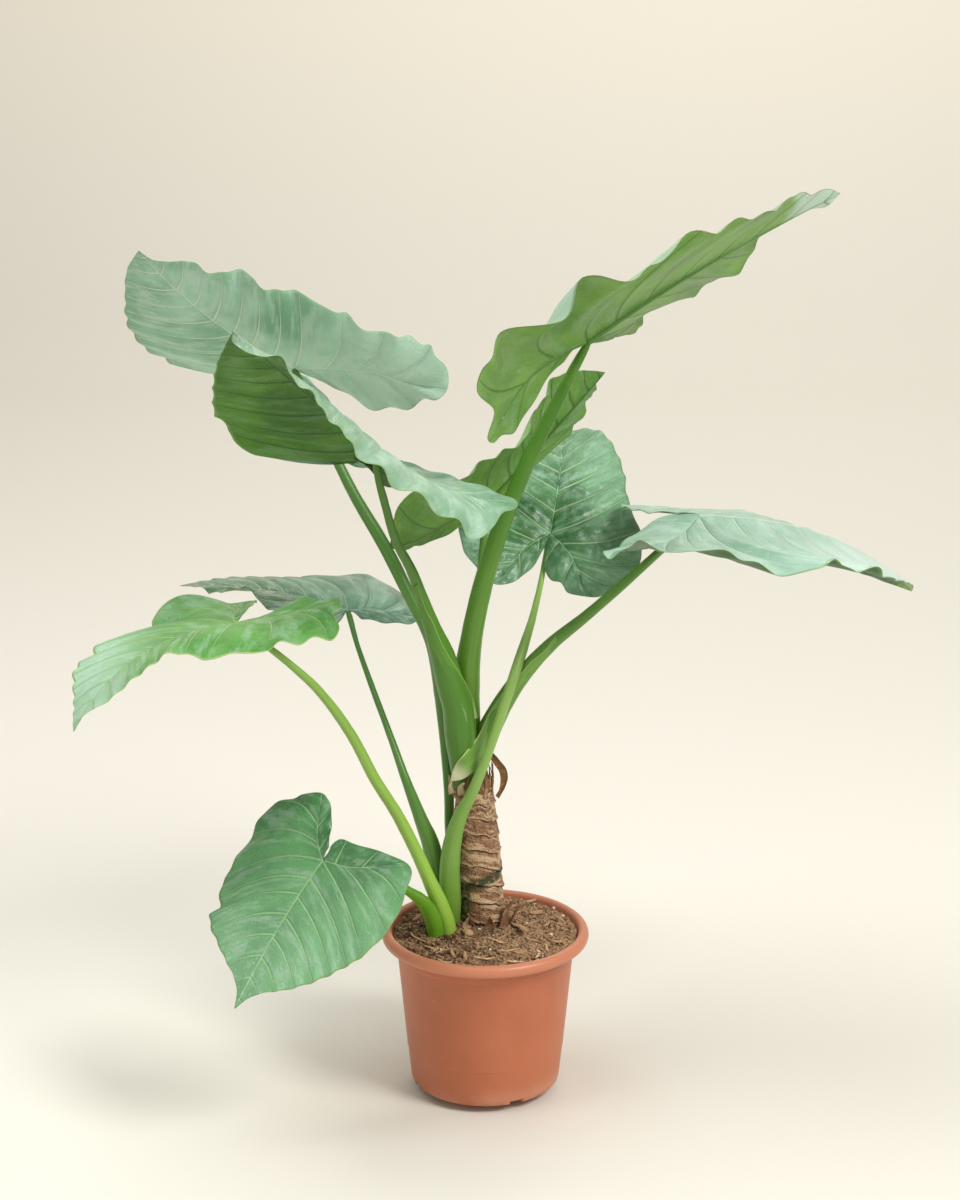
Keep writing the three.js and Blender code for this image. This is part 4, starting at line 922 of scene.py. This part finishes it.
def trunk_pieces():
    """The trunk itself, with dry husks round its foot, torn brown fibres round its top, a strip on each side of
    its foot and cream strips round its collar."""
    shape = Shape()
    rings, pattern, deep = trunk_grid()
    shape.tube(rings, 0, pattern, np.concatenate([deep[:1], deep, deep[-1:]]))
    for measures in HUSKS:
        husk(shape, *measures)
    scatter(shape, *(np.array(column) for column in zip(*KNOBS)), seed=8, slot=2, rough=0.4)
    draw = np.random.default_rng(31)
    top = np.array(TRUNK["top"], float)
    radius = TRUNK["radii"][2] + 0.8
    for k in range(TRUNK["fibres"]):
        out = level_way(360 * (k + 0.8 * draw.random()) / TRUNK["fibres"])
        round_it = np.cross(out, (0, 0, 1))
        drop, rise = 8 + 12 * draw.random(), 5 + 13 * draw.random()
        spare = 0.6 + 3.5 * draw.random()
        start = top - (0, 0, drop) + out * radius
        middle = top - (0, 0, 2) + out * (radius + 0.5 * spare)
        end = top + (0, 0, rise) + out * (radius - 2 + spare) + round_it * 6 * (draw.random() - 0.5)
        width = taper(2.0 + 4.5 * draw.random(), 1, 0.85, 0.3)
        leaf_strip(shape, [start, middle, end], width, 0.7, 0.3, round_it, 1, rows=10, columns=5)
    for route, power, wide, slot in FOOT_STRIPS:
        leaf_strip(shape, route, taper(8, power), 1.2, -1.5, wide, slot, rows=20)
    for route, broad in COLLAR:
        leaf_strip(shape, route, taper(broad, 1, 0.8, 0.5), 0.8, 0.6, (1, 0.1, 0.2), 2, rows=14, columns=7)
    papery = bark_finish("papery_husk", (104, 70, 44), (176, 132, 90), (214, 184, 142))
    cream = bark_finish("cream_tissue", (190, 166, 128), (226, 206, 172), (238, 226, 200))
    shape.make("trunk_skin", [trunk_finish(), papery, cream], ["trunk"])


def dry_sheath():
    """The dry sheath strip that hangs at the right of the crown, broadest in its lower part."""
    shape = Shape()
    leaf_strip(shape, DRY_SHEATH["route"],
               lambda t: DRY_SHEATH["width"] * (0.5 + 0.5 * np.sin(np.pi * np.minimum(1, t + 0.15))),
               DRY_SHEATH["thickness"], 1.6, (1, -0.45, 0.3), 0, rows=60, columns=14)
    finish = bark_finish("dry_sheath", (112, 72, 42), (176, 128, 82), (206, 164, 114))
    shape.make("dry_sheath_strip", [finish], ["dry_sheath"])


def sheath_flap(name, finish):
    """A sheath's free part: a thin sheet from the line that it wraps from to its free edge. It bulges outwards
    by a sine, stands a little off the stem at the edge, and thins towards it."""
    rows, columns = 110, 14
    root, edge = (resample(smooth_curve(line, 12), rows)[:, None] for line in SHEATHS[name])
    w = np.linspace(0, 1, columns)[:, None]
    sheet = root * (1 - w) + edge * w
    out = unit(np.cross(np.gradient(sheet, axis=0), np.gradient(sheet, axis=1)))
    out = out * np.where(out[..., 1:2] > 0, -1, 1)
    ends = np.sin(np.pi * np.linspace(0.02, 0.98, rows))[:, None, None] ** 0.5
    sheet = sheet + out * (0.9 * np.sin(np.pi * w) + 1.1 * w**2 - 0.8 * (1 - w) ** 2) * ends
    sheet = sheet + out * 0.5 * w * noise(sheet, 16.0, 6)[..., None]
    shape = Shape()
    shape.tube(two_faced(sheet, out * (0.55 - 0.25 * w)), 0,
               spread(np.r_[w[:, 0], w[::-1, 0]], np.linspace(0, 1, rows)[:, None]))
    shape.make(f"sheath_{name}", [finish], [])


# ---------- soil ----------
def soil_height(x, y):
    """The soil's level: a low mound round the stems over a gently waved surface."""
    mound = SOIL["mound"] * hump(np.hypot(x + 20, y + 2), 0, SOIL["mound_width"])
    waves = 0.9 * np.sin(0.13 * x + 1) * np.cos(0.11 * y)
    return SOIL["edge"] + mound + waves + 0.6 * np.sin(0.31 * x - 0.27 * y)


def lump():
    """A round lump of six small grids: a cube's faces pushed out to a sphere of radius 1."""
    a, b = np.meshgrid((-1, 0, 1), (-1, 0, 1), indexing="ij")
    sides = [np.roll(spread(end, a, b * end), axis, axis=-1) for axis in range(3) for end in (-1, 1)]
    points = unit(np.concatenate([side.reshape(-1, 3) for side in sides]))
    return points, np.concatenate([grid_faces(3, 3, start=9 * k) for k in range(6)])


def scatter(shape, places, sizes, seed, slot, rough=0.35):
    """Many lumps at once: each is stretched to its size, roughened by noise, turned at random and set down."""
    draw = np.random.default_rng(seed)
    points, faces = lump()
    n = len(places)
    turn = draw.random(n)[:, None] * TURN
    tip = (draw.random((n, 2)) - 0.5) * 0.6
    each = np.arange(n)[:, None, None]
    body = points * (1 + rough * noise(points * 1.3 + 17.0 * each, 1.0))[..., None] * sizes[:, None]
    for angle, (i, j) in ((tip[:, :1], (1, 2)), (tip[:, 1:], (0, 2)), (turn, (0, 1))):
        first, second = body[..., i].copy(), body[..., j].copy()
        body[..., i] = first * np.cos(angle) - second * np.sin(angle)
        body[..., j] = first * np.sin(angle) + second * np.cos(angle)
    pattern = np.broadcast_to(points[:, 1::-1], (n, len(points), 2))
    shape.add(body + places[:, None], (faces + len(points) * each).reshape(-1, 4), slot, pattern)


def clear_of_stems(x, y, room):
    """True where a place on the soil lies outside the trunk and the young shoots."""
    stems = [(-1, 20, 27)] + [(p[0][0], p[0][1], p[0][3] + 2) for p in STALKS.values() if p[0][2] < 200]
    return np.min([np.hypot(x - a, y - b) - r for a, b, r in stems], axis=0) > room


def potting_soil(chip_bark):
    """Potting soil: a crumbly disk down to the inside of the pot, with loose crumbs, bark chips and pale bits."""
    shape = Shape()
    a = np.linspace(0, TURN, SOIL["columns"], endpoint=False)
    r = SOIL["radius"] * np.linspace(1, 0.002, SOIL["rings"])[:, None]
    x, y = r * np.cos(a), r * np.sin(a)
    at = spread(x, y, 0)
    z = soil_height(x, y) + 1.3 * noise(at, 8.0) + 0.9 * noise(at, 3.4, 2) + 0.5 * np.abs(noise(at, 1.7, 5))
    wall = [spread(r * np.cos(a), r * np.sin(a), level) for r, level in SOIL["wall"]]
    shape.tube(np.concatenate([wall, spread(x, y, z)]))
    draw = np.random.default_rng(11)
    for count, (least, most), seed, slot, stretch in LOOSE:
        r = SOIL["loose_radius"] * np.sqrt(draw.random(count))
        a = TURN * draw.random(count)
        x, y = r * np.cos(a), r * np.sin(a)
        clear = clear_of_stems(x, y, most * (stretch[0] if slot else 0.4))
        keep = clear & (r + most * stretch[0] < SOIL["radius"] - 0.1)
        x, y = x[keep], y[keep]
        scale = least + (most - least) * draw.random(len(x)) ** 2
        if slot == 3:
            x, y = np.hstack([(x, y), np.transpose(WHITE_BITS)])
            scale = np.r_[scale, [2.4] * len(WHITE_BITS)]
        places = spread(x, y, soil_height(x, y) + 0.3 * scale + 0.4)
        scatter(shape, places, scale[:, None] * stretch, seed, slot)
    earth = soil_finish("potting_earth", (88, 60, 40), (206, 164, 124))
    crumbs = soil_finish("light_crumbs", (150, 112, 78), (220, 184, 144), 400.0)
    pale = plain_finish("pale_bits", (240, 232, 214), (214, 196, 168), 300.0, 0.0008)
    shape.make("potting_soil", [earth, crumbs, chip_bark, pale], ["soil"])


def bark_slivers(chip_bark):
    """Longer slivers of bark and curved fibres, lying across the soil where the photograph's view shows them."""
    shape = Shape()
    s = np.linspace(-0.5, 0.5, 5)[:, None]
    for x, y, length, width, angle, rise in SLIVERS:
        out = level_way(angle)
        route = np.array([x, y, 0]) + out * length * s
        route = route + np.array([-out[1], out[0], 0]) * length * 0.25 * (s**2 - 0.1)
        route[:, 2] = soil_height(route[:, 0], route[:, 1]) + 3.6 + rise * (0.5 - s[:, 0])
        leaf_strip(shape, route, lambda t: 1.35 * width * (0.35 + 0.65 * np.sin(np.pi * t) ** 0.5),
                   0.4 + width / 4, -0.9, (-out[1], out[0], 0.12), int(width < 2.5), rows=14, columns=6)
    fibre = plain_finish("pale_fibre", (228, 194, 150), (186, 144, 100), 200.0, 0.0006)
    shape.make("bark_slivers", [chip_bark, fibre], [])


# ---------- pot ----------
def rounded(profile):
    """A profile of (radius, height, cut), each corner drawn as a curve that starts and ends cut away from it."""
    p = np.array(profile, float)
    line = [p[0, :2]]
    for before, (x, y, cut), after in zip(p[:-2], p[1:-1], p[2:]):
        corner = np.array([x, y])
        to, on = before[:2] - corner, after[:2] - corner
        a = corner + to * min(cut / np.linalg.norm(to), 0.5)
        b = corner + on * min(cut / np.linalg.norm(on), 0.5)
        line.extend(bezier(a, corner, b, np.linspace(0, 1, 7)))
    return np.array(line + [p[-1, :2]])


def nursery_pot():
    """The pot: a profile turned round the axis, with four drain notches where the foot's edge is lifted."""
    h, r, b, t = POT["height"], POT["rim_radius"], POT["base_radius"], POT["body_top_radius"]
    ring = b + 0.27 * (t - b)
    profile = rounded([
        (0.05, 1.2, 0), (b - 18, 1.2, 0.5), (b - 16.5, 0, 0.4), (b - 5, 0, 1), (b - 1.6, 1.2, 2), (b + 0.1, 6, 2),
        (ring, 45.2, 0.3), (ring + 0.55, 45.6, 0.3), (ring + 0.5, 46.8, 0.3), (t, h - 28, 1.2),
        (t + 2.6, h - 25.5, 1.6), (t + 3.4, h - 16.5, 1.4), (r - 6, h - 15.6, 1.2), (r - 1.6, h - 12.6, 2.2),
        (r, h - 8, 2.4), (r - 1.4, h - 3.2, 2.4), (r - 5, h - 0.4, 2.2), (r - 9.4, h - 0.3, 2.2),
        (r - 12, h - 2.6, 2), (r - 13, h - 8, 2), (t + 1, h - 15.5, 1.5), (t, h - 24.5, 1), (t - 2.6, h - 30, 1),
        (84, POT["floor"], 0.8), (0.05, POT["floor"], 0),
    ])
    half = POT["notch_width"] / 2 / b
    notches = np.radians(POT["first_notch"] + 90 * np.arange(4)) % TURN
    edges = (notches[:, None] + half * np.array([-1.012, -0.99, 0.99, 1.012])).ravel() % TURN
    a = np.sort(np.r_[np.linspace(0, TURN, POT["columns"], endpoint=False), edges])
    off = np.min(np.abs((a[:, None] - notches + np.pi) % TURN - np.pi), axis=1)
    radius, level = profile[:, :1], profile[:, 1:]
    outer = (np.arange(len(profile)) < 60)[:, None] & (radius > b - 17.5)
    lifted = outer & (level < POT["notch_height"]) & (off < half)
    shape = Shape()
    shape.tube(spread(radius * np.cos(a), radius * np.sin(a), np.where(lifted, POT["notch_height"], level)))
    shape.make("nursery_pot", [pot_finish()], ["pot"])


# ---------- the plant ----------
# Each leaf's ribs, puffing and colours: its upper side from darkest to lightest green, its veins and its edge,
# then its lower side. The lists of painted light over the upper and lower sides hold painted sheen, highlights,
# shade and light shining through the leaf.
LEAF_LOOKS = {
    # its pale patch is painted sheen
    "top_left": dict(
        rib_radius=2.8, puff=2.4, blister=0.7, veins=(9, 4, 3),
        top=((126, 180, 142), (180, 224, 198)), vein=(222, 242, 222), edge=(150, 176, 110),
        under=((92, 132, 48), (122, 160, 64)), under_vein=(84, 120, 56), share=0.9, sheen=0.6,
        painted_light=[(0, -0.24, -0.1, 0.75, (208, 236, 222))]),
    "curled_left": dict(
        rib_radius=3.0, puff=1.8, veins=(9, 4, 3),
        top=((112, 154, 118), (142, 180, 152)), vein=(184, 212, 182), edge=(140, 180, 90),
        under=((56, 106, 24), (86, 138, 38)), under_vein=(36, 80, 22), rough=0.34),
    # its pale patches on both faces are painted sheen
    "top_right": dict(
        rib_radius=3.4, puff=2.0,
        top=((124, 170, 124), (156, 196, 152)), vein=(182, 212, 168), edge=(112, 116, 72),
        under=((94, 142, 50), (126, 172, 72)), under_vein=(58, 104, 34), rough=0.34, sheen=0.4,
        painted_light=[(0, 0.3, 0.02, 0.6, (186, 216, 194))], under_painted_light=[(0, 0.325, 0.35, 0.85, (206, 230, 218))]),
    "back": dict(
        rib_radius=2.4, puff=1.8,
        top=((100, 150, 80), (130, 176, 100)), vein=(166, 200, 140), edge=(120, 150, 70),
        under=((90, 142, 50), (118, 166, 66)), under_vein=(56, 100, 34), rough=0.38, sheen=0.15),
    # its pale patches and pale streaks are painted highlights on the glossy cushions
    "center": dict(
        rib_radius=3.0, puff=3.4, blister=3.6, veins=(7, 4, 2), slot="blade_glossy",
        top=((30, 82, 38), (62, 120, 60)), vein=(170, 204, 150), edge=(96, 136, 80),
        under=((70, 112, 62), (92, 134, 76)), under_vein=(120, 160, 96), share=0.7, wax=0.28, sheen=0.6,
        sheen_tone=(138, 182, 150),
        painted_light=[(2, 0.63, 0.73, 0.3, (140, 184, 150)), (0, 0.09, 0.15, 0.4, (134, 174, 138)),
                (2, 0.64, 0.57, 0.55, (122, 170, 128))]),
    # its whitish patch is painted sheen, and the yellow-green at its tip, on both faces, is painted light shining
    # through the leaf
    "right": dict(
        rib_radius=2.8, puff=2.8, blister=0.7, veins=(9, 4, 3),
        top=((138, 184, 158), (174, 210, 192)), vein=(206, 228, 208), edge=(120, 160, 70),
        under=((52, 92, 44), (70, 112, 54)), under_vein=(92, 132, 70), rough=0.34, share=0.85, sheen=0.5,
        painted_light=[(0, 0.28, 0.44, 0.6, (222, 238, 230)), (0, 0.472, 0.486, 0.9, (146, 190, 84))],
        under_painted_light=[(0, 0.466, 0.48, 0.9, (140, 186, 80))]),
    # its pale patch is painted sheen
    "left_front": dict(
        rib_radius=2.6, puff=1.9, slot="blade_fresh",
        top=((68, 136, 46), (106, 166, 82)), vein=(166, 208, 132), edge=(170, 190, 96),
        under=((100, 150, 60), (126, 170, 76)), under_vein=(150, 190, 100), sheen=0.25,
        painted_light=[(0, -0.34, -0.42, 0.7, (186, 222, 196))]),
    # its pale patch is painted sheen, and its darker green towards the left is painted shade
    "left_back": dict(
        rib_radius=2.4, puff=2.4, blister=0.7, slot="blade_glossy",
        top=((58, 112, 82), (114, 170, 134)), vein=(168, 206, 170), edge=(100, 130, 90),
        under=((70, 110, 62), (90, 130, 74)), under_vein=(110, 150, 86), rough=0.3, wax=0.3, sheen=0.35,
        painted_light=[(0, -0.26, -0.12, 0.25, (160, 200, 172)), (0, -0.19, -0.27, 0.6, (70, 112, 58))]),
    # its paler lower part is painted sheen
    "low_front": dict(
        rib_radius=3.2, puff=1.7, slot="blade_fresh",
        top=((54, 118, 60), (104, 168, 106)), vein=(170, 216, 156), edge=(150, 170, 90),
        under=((84, 134, 66), (106, 152, 82)), under_vein=(130, 170, 96), share=0.7, sheen=0.25,
        painted_light=[(2, 0.36, 0.2, 0.5, (150, 200, 154))]),
}
# Each stalk's colours at its foot and at its top.
STALK_TONES = {
    "top_left": ((92, 138, 52), (84, 132, 52)), "curled_left": ((76, 128, 30), (84, 132, 42)),
    "top_right": ((104, 150, 46), (68, 120, 20)), "back": ((108, 152, 58), (88, 138, 48)),
    "center": ((116, 162, 62), (148, 186, 96)), "right": ((112, 160, 60), (92, 142, 50)),
    "left_front": ((158, 202, 74), (136, 176, 76)), "left_back": ((108, 154, 64), (84, 132, 60)),
    "low_front": ((112, 168, 40), (88, 142, 36)),
}
trunk_pieces()
dry_sheath()
chips = bark_finish("chip_bark", (172, 126, 88), (222, 182, 138), (236, 208, 170))
potting_soil(chips)
bark_slivers(chips)
nursery_pot()
for leaf_name, looks in LEAF_LOOKS.items():
    blade(leaf_name, **looks)
for stalk_name, colours in STALK_TONES.items():
    stalk(stalk_name, *colours)
sheath_flap("right", sheath_finish("pale_sheath", (110, 158, 62), (134, 180, 82), (206, 224, 146), 1.0))
sheath_flap("curled", sheath_finish("green_sheath", (80, 130, 34), (94, 144, 46), (150, 190, 92), 0.3))

# ---------- stage, in metres ----------
# The paper lies on the floor and curves up into a wall: (y, z) along it, and its reach to each side.
SWEEP = [(-6.0, 0.0), (3.6, 0.0), (4.2, 0.02), (4.9, 0.2), (5.4, 0.62), (5.7, 1.3), (5.8, 2.2), (5.82, 6.0)]
SWEEP_REACH, SWEEP_ROWS, SWEEP_COLUMNS = 7, 160, 40
ROOM_COLOUR, ROOM_STRENGTH = (1.0, 0.98, 0.95, 1), 0.42
line = resample(smooth_curve(SWEEP, 12), SWEEP_ROWS, 2)
sheet = spread(np.linspace(-SWEEP_REACH, SWEEP_REACH, SWEEP_COLUMNS), line[:, :1], line[:, 1:]).reshape(-1, 3)
paper = bpy.data.meshes.new("paper_sweep")
paper.from_pydata(sheet.tolist(), [], grid_faces(SWEEP_ROWS, SWEEP_COLUMNS)[:, ::-1].tolist())
paper.polygons.foreach_set("use_smooth", np.ones(len(paper.polygons), bool))
paper.materials.append(paper_finish())
show("paper_sweep", paper)

# Square soft boxes: place, the point that each looks at, size, watts and colour.
LIGHTS = {
    "window": ((2.0, -1.7, 2.9), (0, 0, 0.5), 1.2, 88, (1.0, 0.985, 0.96)),
    "ceiling": ((-1.2, -0.2, 3.4), (-0.3, 0, 0.3), 2.2, 72, (0.98, 0.99, 1.0)),
    "wall_wash": ((0.9, 3.6, 3.6), (0.6, 5.0, 0.3), 2.4, 50, (1.0, 0.985, 0.96)),
    "fill": ((-2.6, -2.4, 1.6), (0, 0, 0.5), 2.2, 3, (1.0, 0.99, 0.97)),
}
for light_name, (place, aim, size, watts, colour) in LIGHTS.items():
    data = bpy.data.lights.new(light_name, "AREA")
    data.shape, data.size, data.energy, data.color = "SQUARE", size, watts, colour
    light = show(light_name, data)
    light.location = place
    x, y, z = np.array(aim) - place
    light.rotation_euler = (math.atan2(math.hypot(x, y), -z), 0, math.atan2(-x, y))

world = bpy.data.worlds.new("room")
world.use_nodes = True
world.node_tree.nodes["Background"].inputs["Color"].default_value = ROOM_COLOUR
world.node_tree.nodes["Background"].inputs["Strength"].default_value = ROOM_STRENGTH
lens = bpy.data.cameras.new("photo_view")
lens.lens = CAMERA["lens"]
camera = show("photo_view", lens)
camera.location = [value * MM for value in CAMERA["place"]]
camera.rotation_euler = (math.radians(90 - CAMERA["pitch"]), 0, 0)
scene = bpy.context.scene
scene.world, scene.camera, scene.view_settings.view_transform = world, camera, "Standard"
